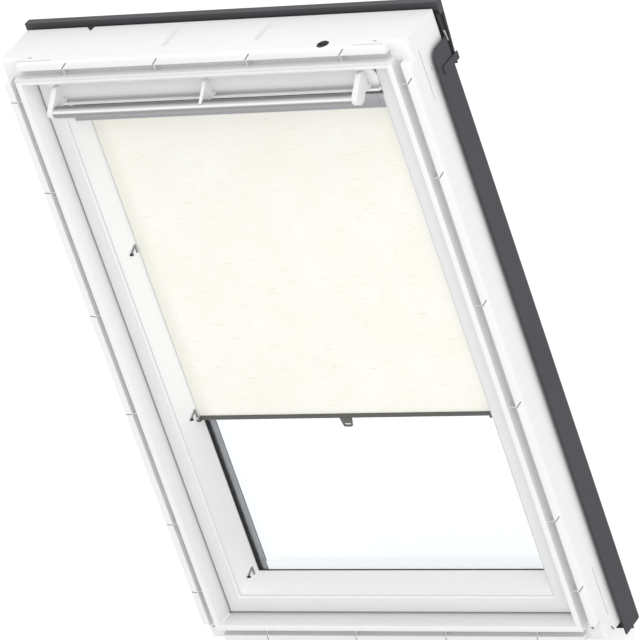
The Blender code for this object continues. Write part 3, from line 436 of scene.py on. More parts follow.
def finish(name, colour, roughness, metallic=0.0, cloud=0.03, skin_size=900, bump=0.05,
           stretch=(1, 1, 1), painted_shade=0.0):
    """A moulded, coated or drawn surface from the shared skin. Painted shade, from ambient
    occlusion, darkens its corners and grooves."""
    material, tree, shader = new_material(
        name, {"Metallic": metallic, "Specular IOR Level": 0.3})
    place = tree.nodes.new("ShaderNodeTexCoord")
    turn = add(tree, "ShaderNodeMapping", {"Vector": place.outputs["Object"], "Scale": stretch})
    group = add(tree, "ShaderNodeGroup",
                {"Colour": (*colour, 1), "Cloud Depth": cloud, "Skin Size": skin_size,
                 "Roughness": roughness - CLOUD_GLOSS / 2, "Vector": turn.outputs[0]},
                node_tree=skin)
    tree.links.new(group.outputs["Colour"], shader.inputs["Base Color"])
    tree.links.new(group.outputs["Roughness"], shader.inputs["Roughness"])
    bumped(tree, shader, group.outputs["Height"], bump, SKIN_RELIEF)
    # Painted shade: ambient occlusion darkens the colour in corners and grooves.
    if painted_shade:
        occlusion = add(tree, "ShaderNodeAmbientOcclusion", {"Distance": SHADE_REACH}, samples=8)
        recoloured(tree, scaled(tree, colour, ranged(tree, occlusion.outputs["AO"], 1 - painted_shade, 1)))
    return material


# The frame's white, with painted shade in its corners and grooves.
white_frame = finish("white_frame", (0.90, 0.90, 0.902), 0.42, painted_shade=0.3)
# Painted shade: a dark grey for the insides of the score lines.
score_painted_shade = finish("score_painted_shade", (0.36, 0.36, 0.365), 0.7)
# Painted shade: darker whites for the lining groove's wall and floor and for the head lip's outer
# edge.
groove_wall_shade = finish("groove_wall_shade", (0.76, 0.76, 0.762), 0.5)
groove_floor_shade = finish("groove_floor_shade", (0.68, 0.68, 0.682), 0.55, painted_shade=0.12)
# Painted shade: a darker white inside the shallow hollows on the head.
hollow_painted_shade = finish("hollow_painted_shade", (0.74, 0.74, 0.742), 0.5)
# Painted shade: the sill's flare grows darker toward the sash above it.
FLARE_WHITE = (0.9, 0.9, 0.902)
sill_flare_painted_shade = finish("sill_flare_painted_shade", FLARE_WHITE, 0.42)
graded(sill_flare_painted_shade, FLARE_WHITE, "Z", 30, 40,
       [(0.3, 0.92), (0.5, 0.86), (0.75, 0.78), (1.0, 0.64)])
# Painted shade: the head's outer face grows darker toward its back, under the hood.
TOP_WHITE = (0.88, 0.88, 0.886)
head_top_painted_shade = finish("head_top_painted_shade", TOP_WHITE, 0.42)
graded(head_top_painted_shade, TOP_WHITE, "Y", -40, 48, [(0.0, 1.0), (0.5, 0.95), (1.0, 0.84)])
OUTER_WALL = [(0, depth * MM) for depth in (95, 62, 58, 55, 52, 49, 46, 43, 40, 36, 30, 20)]
FRAME_SECTION = [
    *OUTER_WALL, *arc((4, 4), 4, 180, 270, 5),
    *rounded([(4, 0, 0), (13, 0, 0.35), (13, 12, 0.9), (24, 12, 0.9), (24, -5, 1.6), (28.2, -5, 0),
              (33, -5, 2.2), (40.7, 20, 4), (40.7, 95, 1), (0, 95, 0)])[1:-1]]
# At the corners there is no flange: its points lie back, level with the groove's floor.
CORNER_SECTION = [
    *OUTER_WALL, *arc((6, 18), 6, 180, 270, 5),
    *[(12.3 * MM + i * 0.2 * MM, 11.6 * MM + i * 0.02 * MM) for i in range(8)]]
CORNER_SECTION += FRAME_SECTION[len(CORNER_SECTION):]


def eased(share):
    """A share from 0 to 1 that starts and stops softly."""
    share = max(0.0, min(1.0, share))
    return share * share * (3 - 2 * share)


def frame_member(side):
    """One member, whose flange stops short of the corners in rounded tongues."""
    upright = side in ("left", "right")
    low, high = (0, FRAME_HEIGHT) if upright else (-HALF_WIDTH, HALF_WIDTH)
    length = high - low
    fades = range(len(FADE_STEPS))

    def ring(from_low, which):
        points = []
        for (inset, depth), (far_inset, far_depth) in zip(FRAME_SECTION, CORNER_SECTION):
            if which is None:
                share, along = 0, far_inset
            else:
                stop = FLANGE_STOP + TONGUE_ROUND * max(0, 1 - inset / TONGUE_REACH) ** 2
                along = max(stop + FLANGE_FADE * FADE_STEPS[which],
                            inset + MITRE_STEP * (which + 1))
                share = eased(FADE_STEPS[which])
            here = (far_inset + (inset - far_inset) * share,
                    far_depth + (depth - far_depth) * share)
            points.append((here, along if from_low else length - along))
        return points

    straight = [*NEAR_RINGS, *[length - back for back in FAR_RINGS]]
    rings = [ring(True, None), *[ring(True, k) for k in fades],
             *[[(point, along) for point in FRAME_SECTION] for along in straight],
             *[ring(False, k) for k in reversed(fades)], ring(False, None)]

    def placed(inset, depth, along):
        if upright and inset < 1 * MM:
            inset += (eased((depth - RECESS_FROM) / FROM_EASE) * RECESS
                      * (eased((along - RECESS_FOOT) / FOOT_EASE)
                         * eased((RECESS_TOP - along) / TOP_EASE)))
        if side == "sill":
            inset = min(inset, SILL_WALL)
        return on_side(side, inset, depth, low + along)

    return loft([[placed(*point, along) for point, along in one] for one in rings])


def wedge(start, end, normal, width, depth, lean=0.0):
    """A thin wedge that scores a face along a line. A lean makes one side of it steep."""
    start, end, normal = Vector(start), Vector(end), Vector(normal)
    across = (end - start).normalized().cross(normal) * width / 2
    over = normal * 1 * MM
    return loft([[point - across + over, point + over, point + across + over, point + across,
                  point - normal * depth + across * lean, point - across]
                 for point in (start, end)])


def coat_of(side):
    """What picks a member's coat: painted shade in the groove and on the head lip's outer edge, on
    the sill's flare and on the head's top, or the plain white.
    """
    def pick(face):
        x, y, z = face.center
        inset = {"left": x + HALF_WIDTH, "right": HALF_WIDTH - x, "sill": z,
                 "head": FRAME_HEIGHT - z}[side]
        depth = y + FRAME_DEPTH / 2
        from_end = HALF_WIDTH - abs(x) if side in ("sill", "head") else min(z, FRAME_HEIGHT - z)
        if 12.9 * MM < inset < 24.1 * MM and depth > -3.4 * MM and from_end > 30.5 * MM:
            return groove_floor_shade if depth > 11.5 * MM else groove_wall_shade
        if side == "head" and 24.2 * MM < inset < 28 * MM and depth < -4 * MM:
            return groove_wall_shade
        if side == "head" and inset < 0.2 * MM and depth > 6 * MM:
            return head_top_painted_shade
        if side == "sill" and inset > 33 * MM and depth < 20 * MM:
            return sill_flare_painted_shade
        return white_frame
    return pick


FRAME_COATS = [white_frame, score_painted_shade, groove_wall_shade, groove_floor_shade, sill_flare_painted_shade, head_top_painted_shade,
               hollow_painted_shade]
members = {}
for side, cad_name in (("head", "frame_head"), ("sill", "frame_sill"),
                       ("left", "frame_jamb_left"), ("right", "frame_jamb_right")):
    members[side] = coated(made(cad_name + "_moulding", frame_member(side)), FRAME_COATS,
                           coat_of(side))

# The mould left score lines on the flange and the outer faces, where the lining and the
# installation feet go. Their insides are painted dark grey as shade.
LEVEL_SCORES = (-225, -75, 75, 225)
UPRIGHT_SCORES = (915, 767, 562, 396, 206, 88)
FRONT = (0, -1, 0)
scores = {side: [] for side in members}
hollows = []


def scored(side, a, b, normal, width=1.3 * MM, depth=3 * MM):
    """Score a line between two (inset, depth, along) places, in millimetres."""
    start, end = [on_side(side, *[value * MM for value in place]) for place in (a, b)]
    scores[side].append(wedge(start, end, normal, width, depth))


for along in LEVEL_SCORES:
    scored("head", (12.2, 0, along + 1), (2.5, 0, along + 11), FRONT)
    scored("sill", (12.2, 0, along), (2.5, 0, along), FRONT)
for along in UPRIGHT_SCORES:
    scored("right", (12.2, 0, along + 1), (2.5, 0, along + 11), FRONT)
    scored("left", (12.2, 0, along), (2.5, 0, along + 1), FRONT)
for low, high in ((-316, -240), (249, 326)):
    scored("head", (0, 5, low), (0, 5, high), (0, 0, 1), 1.0 * MM, 1.2 * MM)
for along in (-280, 280):
    scored("head", (0, 14, along - 3), (0, 14, along + 3), (0, 0, 1), 2.2 * MM, 1.5 * MM)
# Shallow hollows on the head's outer face, lined with painted shade.
for along, near, far in ((-68, 30, 91), (81, 34, 92), (-296, 79, 91), (301.5, 79, 91)):
    ends = [on_side("head", 0, depth * MM, along * MM) for depth in (near, far)]
    hollows.append(wedge(*ends, (0, 0, 1), 9 * MM, 1.1 * MM, 0.96))
for low, high in ((873, 950), (28, 109)):
    scored("right", (0, 33, low), (0, 33, high), (1, 0, 0), 1.0 * MM, 1.2 * MM)
    scored("left", (0, 33, low), (0, 33, high), (-1, 0, 0), 1.0 * MM, 1.2 * MM)
for along in (69, 911):
    scored("right", (0, 50, along - 3), (0, 50, along + 3), (1, 0, 0), 2 * MM, 1.5 * MM)
scores["left"].append(prism(arc((-319.9, 21), 1.6, 0, 330, 11), "Y", 8 * MM, 16 * MM))
scores["right"].append(prism(arc((312, 20), 2.2, 0, 330, 11), "Y", 8 * MM, 16 * MM))
scored("right", (0, 31, 10), (0, 36, 2), (1, 0, 0), 3 * MM, 2 * MM)
for side, member in members.items():
    cut(member, *scores[side], lining=score_painted_shade)
cut(members["head"], *hollows, lining=hollow_painted_shade)
PLATE = oblong(37.7, 428.7, 66.3, 549.3)
for side, sign in (("left", -1), ("right", 1)):
    cut(members[side], mirrored(prism(PLATE, "X", HALF_WIDTH - WALL - 5 * MM,
                                      HALF_WIDTH - WALL + 3.1 * MM), sign))
GROMMET = (199, 12)
cut(members["head"], prism(oblong(-30.3, 932, 30.3, 939.1), "Y", 34.7 * MM, 61.3 * MM),
    prism(arc(GROMMET, 9, 0, 345, 23), "Z", 969.7 * MM, 985 * MM))
for side, member in members.items():
    show(member, white_frame, "frame",
         ["frame_" + side if side in ("head", "sill") else "frame_jamb_" + side])


# Groove ribs
# Thin webs of the same plastic cross the lining groove beside each score line and stiffen it.
# They repeat round the frame, so a small node tree sets one on every given point.
RIB_PLACES = ([(side, along) for side in ("head", "sill") for along in LEVEL_SCORES]
              + [(side, along) for side in ("left", "right") for along in UPRIGHT_SCORES])
RIB_SIZES = {"Thickness": 1 * MM, "Height": 9 * MM, "Width": 11.2 * MM}
RIB_INSET = 18.5 * MM
RIB_DEPTH = 7.6 * MM


def geometry_tree(name, values):
    """An empty geometry tree with a named input for each value."""
    tree = bpy.data.node_groups.new(name, "GeometryNodeTree")
    sockets = {}
    tree.interface.new_socket("Geometry", in_out="INPUT", socket_type="NodeSocketGeometry")
    for label, value in values.items():
        socket = tree.interface.new_socket(label, in_out="INPUT", socket_type="NodeSocketFloat")
        socket.default_value = value
        sockets[label] = socket.identifier
    tree.interface.new_socket("Geometry", in_out="OUTPUT", socket_type="NodeSocketGeometry")
    return tree, tree.nodes.new("NodeGroupInput").outputs, sockets


def ended(tree, shape, material):
    """End a geometry tree with a real mesh of one material."""
    real = add(tree, "GeometryNodeRealizeInstances", {0: shape})
    coat = add(tree, "GeometryNodeSetMaterial",
               {"Geometry": real.outputs[0], "Material": material})
    add(tree, "NodeGroupOutput", {0: coat.outputs[0]})


def grown(name, points, tree, sockets, values, attributes=()):
    """Run a geometry tree on loose points and keep its result as a plain mesh."""
    mesh = bpy.data.meshes.new(name)
    mesh.from_pydata(points, [], [])
    for label, numbers in attributes:
        mesh.attributes.new(label, "FLOAT", "POINT").data.foreach_set("value", numbers)
    found = linked(name, mesh)
    work = found.modifiers.new("grown", "NODES")
    work.node_group = tree
    for label, value in values.items():
        work[sockets[label]] = value
    return settled(found)


rib_tree, given, rib_sockets = geometry_tree("groove_ribs", RIB_SIZES)
size = add(rib_tree, "ShaderNodeCombineXYZ",
           {"X": given["Thickness"], "Y": given["Height"], "Z": given["Width"]})
block = add(rib_tree, "GeometryNodeMeshCube", {"Size": size.outputs[0]})
turned = add(rib_tree, "GeometryNodeInputNamedAttribute", {"Name": "turn"}, data_type="FLOAT")
tilt = add(rib_tree, "ShaderNodeCombineXYZ", {"Y": turned.outputs["Attribute"]})
spots = add(rib_tree, "GeometryNodeMeshToPoints", {"Mesh": given["Geometry"]})
placed_ribs = add(rib_tree, "GeometryNodeInstanceOnPoints",
                  {"Points": spots.outputs[0], "Instance": block.outputs["Mesh"],
                   "Rotation": tilt.outputs[0]})
ended(rib_tree, placed_ribs.outputs[0], white_frame)
ribs = grown("groove_ribs", [on_side(side, RIB_INSET, RIB_DEPTH, along * MM)
                             for side, along in RIB_PLACES],
             rib_tree, rib_sockets, RIB_SIZES,
             [("turn", [math.pi / 2 if side in ("left", "right") else 0.0
                        for side, _ in RIB_PLACES])])
show(ribs, white_frame, "frame")


# Cable grommet
# A black rubber bung in the head's outer face, dished, with two small holes for the cables of an
# electric blind.
black_rubber = finish("black_rubber", (0.022, 0.022, 0.023), 0.6, cloud=0.2, skin_size=1500,
                      bump=0.15)
dish = [(8.7, -8), (8.7, 0.3), (8.4, 0.6), (7.6, 0.6), (6.6, 0.1), (3, -0.6), (0, -0.7)]
rings = [[(x, y - FRAME_DEPTH / 2, FRAME_HEIGHT + rise * MM) for x, y in
          arc(GROMMET, max(radius, 0.05), 0, 352.5, 47)] for radius, rise in dish]
grommet = made("cable_grommet_bung", loft(rings))
holes = [prism(arc((GROMMET[0] + off, GROMMET[1]), 1.9, 0, 345, 23), "Z",
               FRAME_HEIGHT - 6 * MM, FRAME_HEIGHT + 3 * MM) for off in (-3.6, 3.6)]
cut(grommet, *holes)
show(grommet, black_rubber, "frame", ["cable_grommet"])


# Hinges, lock and roller
# Galvanised steel: the hinge plates and arms let into the wood at mid height on both sides, the
# lock in the top rail, and the plate in the head that takes its bolt. The blind's roller is an
# aluminium tube on two black plastic plugs and a steel spindle.
zinc = finish("zinc", (0.62, 0.62, 0.61), 0.38, 0.9, cloud=0.25, skin_size=350, bump=0.1)
black_plastic = finish("black_plastic", (0.02, 0.02, 0.021), 0.45, cloud=0.15, bump=0.1)
aluminium = finish("aluminium", (0.62, 0.61, 0.64), 0.36, 0.85, skin_size=60, bump=0.06,
                   stretch=(1, 40, 40))


def bevelled(found, width, segments=2, angle=30):
    """Round a piece's sharp edges with a modifier."""
    work = found.modifiers.new("edges", "BEVEL")
    work.width = width
    work.segments = segments
    work.limit_method = "ANGLE"
    work.angle_limit = math.radians(angle)
    return found


def dressed(name, material, width=0.3 * MM, angle=30):
    """Give a CAD node its real material and soft edges."""
    found = node[name]
    found.data.materials.clear()
    found.data.materials.append(material)
    merge = found.modifiers.new("merge", "WELD")
    merge.merge_threshold = 0.01 * MM
    bevelled(found, width, angle=angle)


for name in ("pivot_plate_left", "pivot_plate_right", "strike_plate", "pivot_arm_left",
             "pivot_arm_right", "lock_case", "latch_bolt", "spring_spindle"):
    dressed(name, zinc, 0.2 * MM)
for name in ("spring_end_plug", "pin_end_plug"):
    dressed(name, black_plastic, 0.15 * MM)
dressed("roller_tube", aluminium, 0.1 * MM)


# Outer covers and feet
# Folded aluminium sheet, coated grey, that sheds the rain outside the frame and the sash. A hem
# turns in against each jamb. The upper corner of each side cover is rounded.
grey_cover = finish("grey_cover", (0.055, 0.053, 0.062), 0.55, cloud=0.06, skin_size=1600,
                    bump=0.12)
for name in ("side_cover_left", "side_cover_right", "sill_cover", "sash_cover_top",
             "sash_cover_bottom", "sash_cover_left", "sash_cover_right", "hood_foot_left",
             "hood_foot_right"):
    dressed(name, grey_cover, 0.4 * MM)


# Hood
# A darker folded sheet over the head, with a crease along its top, closed at both ends by flaps
# and by black plastic ends inside.
dark_hood = finish("dark_hood", (0.068, 0.067, 0.074), 0.55, cloud=0.06, skin_size=1600,
                   bump=0.12)
dressed("hood", dark_hood, 0.5 * MM, 12)
for name in ("hood_end_left", "hood_end_right"):
    dressed(name, black_plastic)
BUFFER = [(-228.2 * MM, 94.5 * MM), (-216.8 * MM, 94.5 * MM), (-217.5 * MM, 84 * MM)]
buffer = made("hood_buffer", prism(BUFFER, "Z", 978.1 * MM, 979 * MM))
show(buffer, black_rubber, "frame")
CLIP = rounded([(96.6, 943, 0.6), (98.6, 943, 0.6), (100.2, 926.5, 0.6), (98.2, 926.5, 0.6)])
clips = made("hood_clips", together(*[mirrored(prism(CLIP, "X", 335 * MM, 336.7 * MM), sign)
                                      for sign in (-1, 1)]))
show(clips, zinc, "frame")


# Sash members
# White lacquered wood: two stiles, a bottom rail and a top rail. A double bead and a sloping face
# lead from the flat face down to the glass.
# Painted light and shade: the sloping faces are a lighter white and the bead's flat a darker one,
# and painted shade darkens the sash's corners.
white_sash = finish("white_sash", (0.80, 0.80, 0.805), 0.4, painted_shade=0.15)
slope_painted_light = finish("slope_painted_light", (0.94, 0.94, 0.942), 0.36)
bead_painted_shade = finish("bead_painted_shade", (0.70, 0.70, 0.705), 0.4)
SASH_START = 44 * MM
FACE_END = 66.5 * MM
SASH_TOP = FRAME_HEIGHT - SASH_START


def sash_section(edge, rebate):
    """Section of a stile or of the bottom rail, from its outer edge to its glazing rebate."""
    return rounded([
        (edge, 84, 1), (edge, 18, 1.8), (66.5, 18, 0.9), (67.3, 21, 0.5), (70.7, 21, 0.5),
        (71.5, 24, 0.5), (87.5, 57, 0.8), (87.5, 58.5, 0.3), (rebate, 58.5, 0.3),
        (rebate, 84, 0.5)])


def sash_member(side, section, square_end=None):
    """A member of the sash, mitred at its ends unless one of them is square."""
    upright = side in ("left", "right")
    low, high = (0, FRAME_HEIGHT) if upright else (-HALF_WIDTH, HALF_WIDTH)
    first = [on_side(side, inset, depth, low + inset) for inset, depth in section]
    last = [on_side(side, inset, depth, high - inset if square_end is None else square_end)
            for inset, depth in section]
    return loft([first, last])


SASH_COATS = [white_sash, slope_painted_light, bead_painted_shade]


def sash_coat(face):
    """The coat of a member's sloping face, a painted light, of its bead's flat, a painted shade,
    or of the rest.
    """
    depth = face.center.y + FRAME_DEPTH / 2
    if 20.9 * MM < depth < 21.1 * MM and face.normal.y < -0.95:
        return bead_painted_shade
    if 18.2 * MM < depth < 57 * MM and -0.8 < face.normal.y < -0.1:
        return slope_painted_light
    return white_sash


show(coated(made("sash_bottom_rail_wood", sash_member("sill", sash_section(42.2, 65))),
            SASH_COATS, sash_coat), white_sash, "sash", ["sash_bottom_rail"])
flap_room = HALF_WIDTH - FACE_END
FLAP_AXIS = (29, 898.2)
for side, sign in (("left", -1), ("right", 1)):
    stile = coated(made("sash_stile_wood_" + side,
                        sash_member(side, sash_section(44, 74), SASH_TOP)),
                   SASH_COATS, sash_coat)
    pocket = rounded([(-10, 890.5, 0), (40, 890.5, 4), (40, 939, 0), (-10, 939, 0)])
    cut(stile, mirrored(prism(pocket, "X", 0, flap_room), sign),
        mirrored(prism(PLATE, "X", HALF_WIDTH - SASH_START - 3.1 * MM,
                       HALF_WIDTH - SASH_START + 5 * MM), sign))
    cut(stile, mirrored(prism(arc(FLAP_AXIS, 1.5, 0, 330, 11), "X", flap_room - 5 * MM,
                              flap_room + 2.3 * MM), sign))
    show(stile, white_sash, "sash", ["sash_stile_" + side])

TOP_SECTION = rounded([(84, 934, 1), (18, 934, 0.8), (18, 931.5, 0.6), (40, 931.5, 3),
                       (40, 894, 1), (57, 890.5, 0.8), (58.5, 890.5, 0.3), (58.5, 904, 0.3),
                       (84, 904, 0.5)])
rail = made("sash_top_rail_wood", prism(TOP_SECTION, "X", SASH_START - HALF_WIDTH,
                                        HALF_WIDTH - SASH_START))
beside = [(39, 0), (66.8, 0), (66.8, 39.7), (80.1, 39.7), (88.1, 57), (88.1, 58.8), (74.3, 58.8),
          (74.3, 89), (39, 89)]
cut(rail, *[mirrored(prism([(HALF_WIDTH - inset * MM, depth * MM) for inset, depth in beside], "Z",
                           850 * MM, 940 * MM), sign) for sign in (-1, 1)])
cut(rail, prism(oblong(-45.3, 902.7, 45.3, 927.3), "Y", 0, 56 * MM))
cut(rail, prism(oblong(-5.8, 926, 5.8, 940), "Y", 45.2 * MM, 50.8 * MM))
show(rail, white_sash, "sash", ["sash_top_rail"])


# Glazing
# Two panes of clear glass, an aluminium spacer between them near the edge, a black rubber gasket
# in front and a black seal round the sash. The strip at the sill's outer foot is rubber too.
glass, tree, shader = new_material(
    "clear_glass", {"Base Color": (0.97, 0.99, 1, 1), "Roughness": 0.0, "IOR": 1.5,
                    "Transmission Weight": 1})
place = tree.nodes.new("ShaderNodeTexCoord")
bumped(tree, shader, noise(tree, 3, 1, place.outputs["Object"]), 0.02, 0.5 * MM)
for name in ("inner_pane", "outer_pane"):
    dressed(name, glass, 0.4 * MM)
for name in ("glazing_gasket", "sash_seal", "sill_apron"):
    dressed(name, black_rubber, 0.4 * MM)
spacer_grey = finish("spacer_grey", (0.52, 0.525, 0.535), 0.4, 0.2, skin_size=60)
dressed("pane_spacer", spacer_grey, 0.6 * MM)


# Mitre highlights
# A thin bright strip along the lower left mitre of the sash's sloping faces, and another along
# that of the frame's flare, is a painted highlight.
mitre_highlight = finish("mitre_highlight", (0.95, 0.95, 0.95), 0.4)
HIGHLIGHT_OUT = Vector((0.58, -0.57, 0.58)) * 0.5 * MM
HIGHLIGHT_ACROSS = Vector((1, 0, -1)) * 1.6 * MM


def fillet(*places):
    """A thin strip along the lower left mitre between two (inset, depth) places."""
    ends = [Vector(on_side("left", inset * MM, depth * MM, inset * MM)) for inset, depth in places]
    return loft([[end + HIGHLIGHT_OUT * rise + HIGHLIGHT_ACROSS * side
                  for side, rise in ((-1, -1), (-0.5, 1), (0.5, 1), (1, -1))] for end in ends])


# Painted highlight along the mitres.
show(made("sash_mitre_highlight", fillet((72, 25), (87, 56))), mitre_highlight, "sash")
show(made("frame_mitre_highlight", fillet((33.5, -3), (40, 18))), mitre_highlight, "frame")


# Vent flap
# A white strip across the top of the sash, hinged on two pins at its foot. Its face is a hollow
# curve that ends in a thin lip.
FLAP_HALF = 263.1 * MM
FLAP_CENTRE = (-9, 917)
flap_section = [*arc(FLAP_CENTRE, 26, 50, -24, 24),
                *rounded([(14.8, 906.4, 0), (11.2, 906.4, 0.6), (10.3, 905.5, 0.5),
                          (10.3, 902.6, 0.7), (27.6, 896.8, 0.8), (31, 896.8, 0.7),
                          (31, 899.6, 0.7), (17, 905.4, 0)])[1:-1],
                *arc(FLAP_CENTRE, 28.5, -24, 50, 24)]
# Painted shade: the hollow face darkens in a band just above the lip.
FLAP_WHITE = (0.95, 0.95, 0.945)
flap_painted_shade = finish("flap_painted_shade", FLAP_WHITE, 0.38)
graded(flap_painted_shade, FLAP_WHITE, "Z", 900, 930,
       [(0.0, 1.0), (0.20, 1.0), (0.22, 0.46), (0.30, 0.66), (0.42, 0.94), (0.55, 1.0)])
flap = made("vent_flap_strip", together(
    prism(flap_section, "X", -FLAP_HALF, FLAP_HALF),
    *[mirrored(prism(arc(FLAP_AXIS, 1.2, 0, 330, 11), "X", FLAP_HALF - 1 * MM,
                     flap_room + 2 * MM), sign) for sign in (-1, 1)]))
show(flap, flap_painted_shade, "vent_bar", ["vent_flap"])


# Control bar and its brackets
# The long handle of the window, a rounded aluminium extrusion with a satin finish. Two white end
# brackets carry it clear of the flap, and a slimmer one holds it in the middle.
white_plastic = finish("white_plastic", (0.84, 0.84, 0.835), 0.35)
BAR_POINTS = [(-8, 899.3), (-5.5, 902), (-5.5, 908), (-7, 909.9), (-11, 912.8), (-16, 916),
              (-20, 917.3), (-24.5, 917), (-28.5, 914.6), (-30.8, 911), (-30.2, 907),
              (-26.5, 902.8), (-22, 900), (-17, 899.3)]
BAR_HALF = 242.7 * MM


def smoothed(points, share=0.45, widest=8):
    """A rounded outline whose corners are as round as their sides allow."""
    corners = []
    for i, (a, b) in enumerate(points):
        before = complex(a, b) - complex(*points[i - 1])
        after = complex(*points[(i + 1) % len(points)]) - complex(a, b)
        turn = after / before
        half = abs(math.atan2(turn.imag, turn.real)) / 2
        room = share * min(abs(before), abs(after))
        corners.append((a, b, min(widest, room / math.tan(half))))
    return rounded(corners, 4)


# Painted reflection and highlight on the satin aluminium: its tone follows the way each face
# points, darkest toward the flap, brightest along its upper front edge and a soft grey below.
painted_sheen = finish("painted_sheen_bar", (0.55, 0.545, 0.56), 0.34, 0.55, cloud=0.02, skin_size=60, bump=0.05,
               stretch=(1, 40, 40))
tree = painted_sheen.node_tree
facing = parts_of(tree, "Normal")
around = maths(tree, "ARCTAN2", facing["Z"], facing["Y"])
PAINTED_SHEEN_TONES = ((-180, 0.29), (-165, 0.33), (-100, 0.36), (20, 0.25), (70, 0.21), (96, 0.24),
               (114, 0.36), (126, 0.56), (138, 0.84), (147, 0.94), (155, 0.74), (163, 0.42),
               (180, 0.29))
recoloured(tree, ramp(tree, ranged(tree, around, 0, 1, -math.pi, math.pi),
                      [((degrees + 180) / 360, (tone, tone * 0.99, tone * 1.01))
                       for degrees, tone in PAINTED_SHEEN_TONES]))
bar = made("control_bar_handle", prism(smoothed(BAR_POINTS), "X", -BAR_HALF, BAR_HALF))
show(bar, painted_sheen, "vent_bar", ["control_bar"])
seat = arc(FLAP_CENTRE, 25.7, -22, -10, 3)
ARM = [(8, 914), (8, 936.5), (0, 937), (-2, 936.3), (-10, 929.3), (-19, 922.7), (-28, 916)]
NOSE = [(-30.3, 913), (-31, 910), (-30, 906.5), (-26.5, 902.6), (-22.3, 900), (-14.1, 900.6),
        (-9, 905), (-5.5, 908.5)]
OVER_BAR = [(-24.5, 917.3), (-20, 917.6), (-16, 916.3), (-11, 913.1), (-7, 910.2), (-4.5, 908.5)]
FOOT = [(1.4, 909.5), (12, 907.3)]
for name, grip, start, end, sign in (("middle", OVER_BAR, -2.5, 2.5, 1),
                                     ("left", NOSE, 243, 251.5, -1),
                                     ("right", NOSE, 243, 251.5, 1)):
    outline = [*seat, *[(a * MM, b * MM) for a, b in (*ARM, *grip, *FOOT)]]
    bracket = made("bar_bracket_arm_" + name,
                   mirrored(prism(outline, "X", start * MM, end * MM), sign))
    settled(bevelled(bracket, 0.4 * MM, 3))
    show(bracket, white_plastic, "vent_bar", ["bar_bracket_" + name], 60)


# Headrail of the blind
# A drawn aluminium channel over the roller, lacquered pale grey, between two end brackets that
# are screwed to the stiles.
PALE_GREY = (0.40, 0.392, 0.42)
pale_aluminium_painted_light = finish("pale_aluminium_painted_light", PALE_GREY, 0.42, 0.25, skin_size=60,
                        bump=0.05, stretch=(1, 40, 40))
# Painted light and shade: the pale grey is darker low down and lighter toward the top.
graded(pale_aluminium_painted_light, PALE_GREY, "Z", 860, 892, [(0.0, 0.86), (0.5, 1.0), (1.0, 1.3)])
dressed("headrail", pale_aluminium_painted_light, 0.4 * MM)
for name in ("blind_bracket_left", "blind_bracket_right"):
    dressed(name, pale_aluminium_painted_light, 0.5 * MM)


# Fabric
# A cream woven cloth with uneven yarns, wound on the sprung roller and drawn down taut to the
# bottom bar. The drawn stretch and the turns on the roller are one cloth.
BLIND_HALF = 243.3 * MM
FABRIC_DEPTH = 51.8 * MM
FABRIC_THICKNESS = 0.4 * MM
FABRIC_TOP = 876 * MM
FABRIC_LOW = 359.7 * MM
WAVE = 0.12 * MM
WAVE_ACROSS = 37
WAVE_DOWN = 3.1
cream, tree, shader = new_material("cream_fabric", {"Roughness": 0.85, "Sheen Weight": 0.15})
place = tree.nodes.new("ShaderNodeTexCoord")


def stretched(scale, detail, amounts):
    """Noise drawn out along a thread direction."""
    turn = add(tree, "ShaderNodeMapping", {"Vector": place.outputs["Object"], "Scale": amounts})
    return noise(tree, scale, detail, turn.outputs[0])


colour = (0.96, 0.952, 0.89, 1)
for tint, mask in (
        ((0.94, 0.925, 0.83), ramp(tree, stretched(11, 3, (1, 1, 1)), [(0.35, 0.0), (0.75, 1.0)])),
        ((0.885, 0.855, 0.73), ramp(tree, stretched(9, 3, (8, 1, 40)), [(0.6, 0.0), (0.76, 1.0)])),
        ((0.965, 0.96, 0.92), ramp(tree, stretched(7, 2, (60, 1, 5)), [(0.62, 0.0), (0.75, 1.0)])),
        ((0.86, 0.82, 0.68), ramp(tree, stretched(5, 2, (7, 1, 70)), [(0.62, 0.0), (0.74, 1.0)])),
        # Painted shade: the cloth turns darker and warmer toward its left edge, beside the stile.
        ((0.87, 0.86, 0.78), ranged(tree, parts_of(tree, "Object")["X"], 1, 0,
                                    -BLIND_HALF + 8 * MM, -BLIND_HALF + 26 * MM))):
    blend = add(tree, "ShaderNodeMix", {6: colour, 7: (*tint, 1), 0: mask}, data_type="RGBA")
    colour = blend.outputs[2]
tree.links.new(colour, shader.inputs["Base Color"])
threads = maths(tree, "ADD", stretched(1, 2, (2600, 1, 90)), stretched(1, 2, (90, 1, 2600)))
bumped(tree, shader, threads, 0.35, 0.15 * MM)

# A blend turns softly at its ends, so a single one would fold the whole cloth as the blind goes
# up. The drawn cloth is ten strips edge to edge, each a share of its length.
COLUMNS = 60
STRIPS = 10
STRIP_ROWS = 6
FABRIC_LENGTH = FABRIC_TOP - FABRIC_LOW


def thickened(found, thickness, offset):
    """Give a sheet its thickness."""
    work = found.modifiers.new("thickness", "SOLIDIFY")
    work.thickness = thickness
    work.offset = offset
    return settled(found)


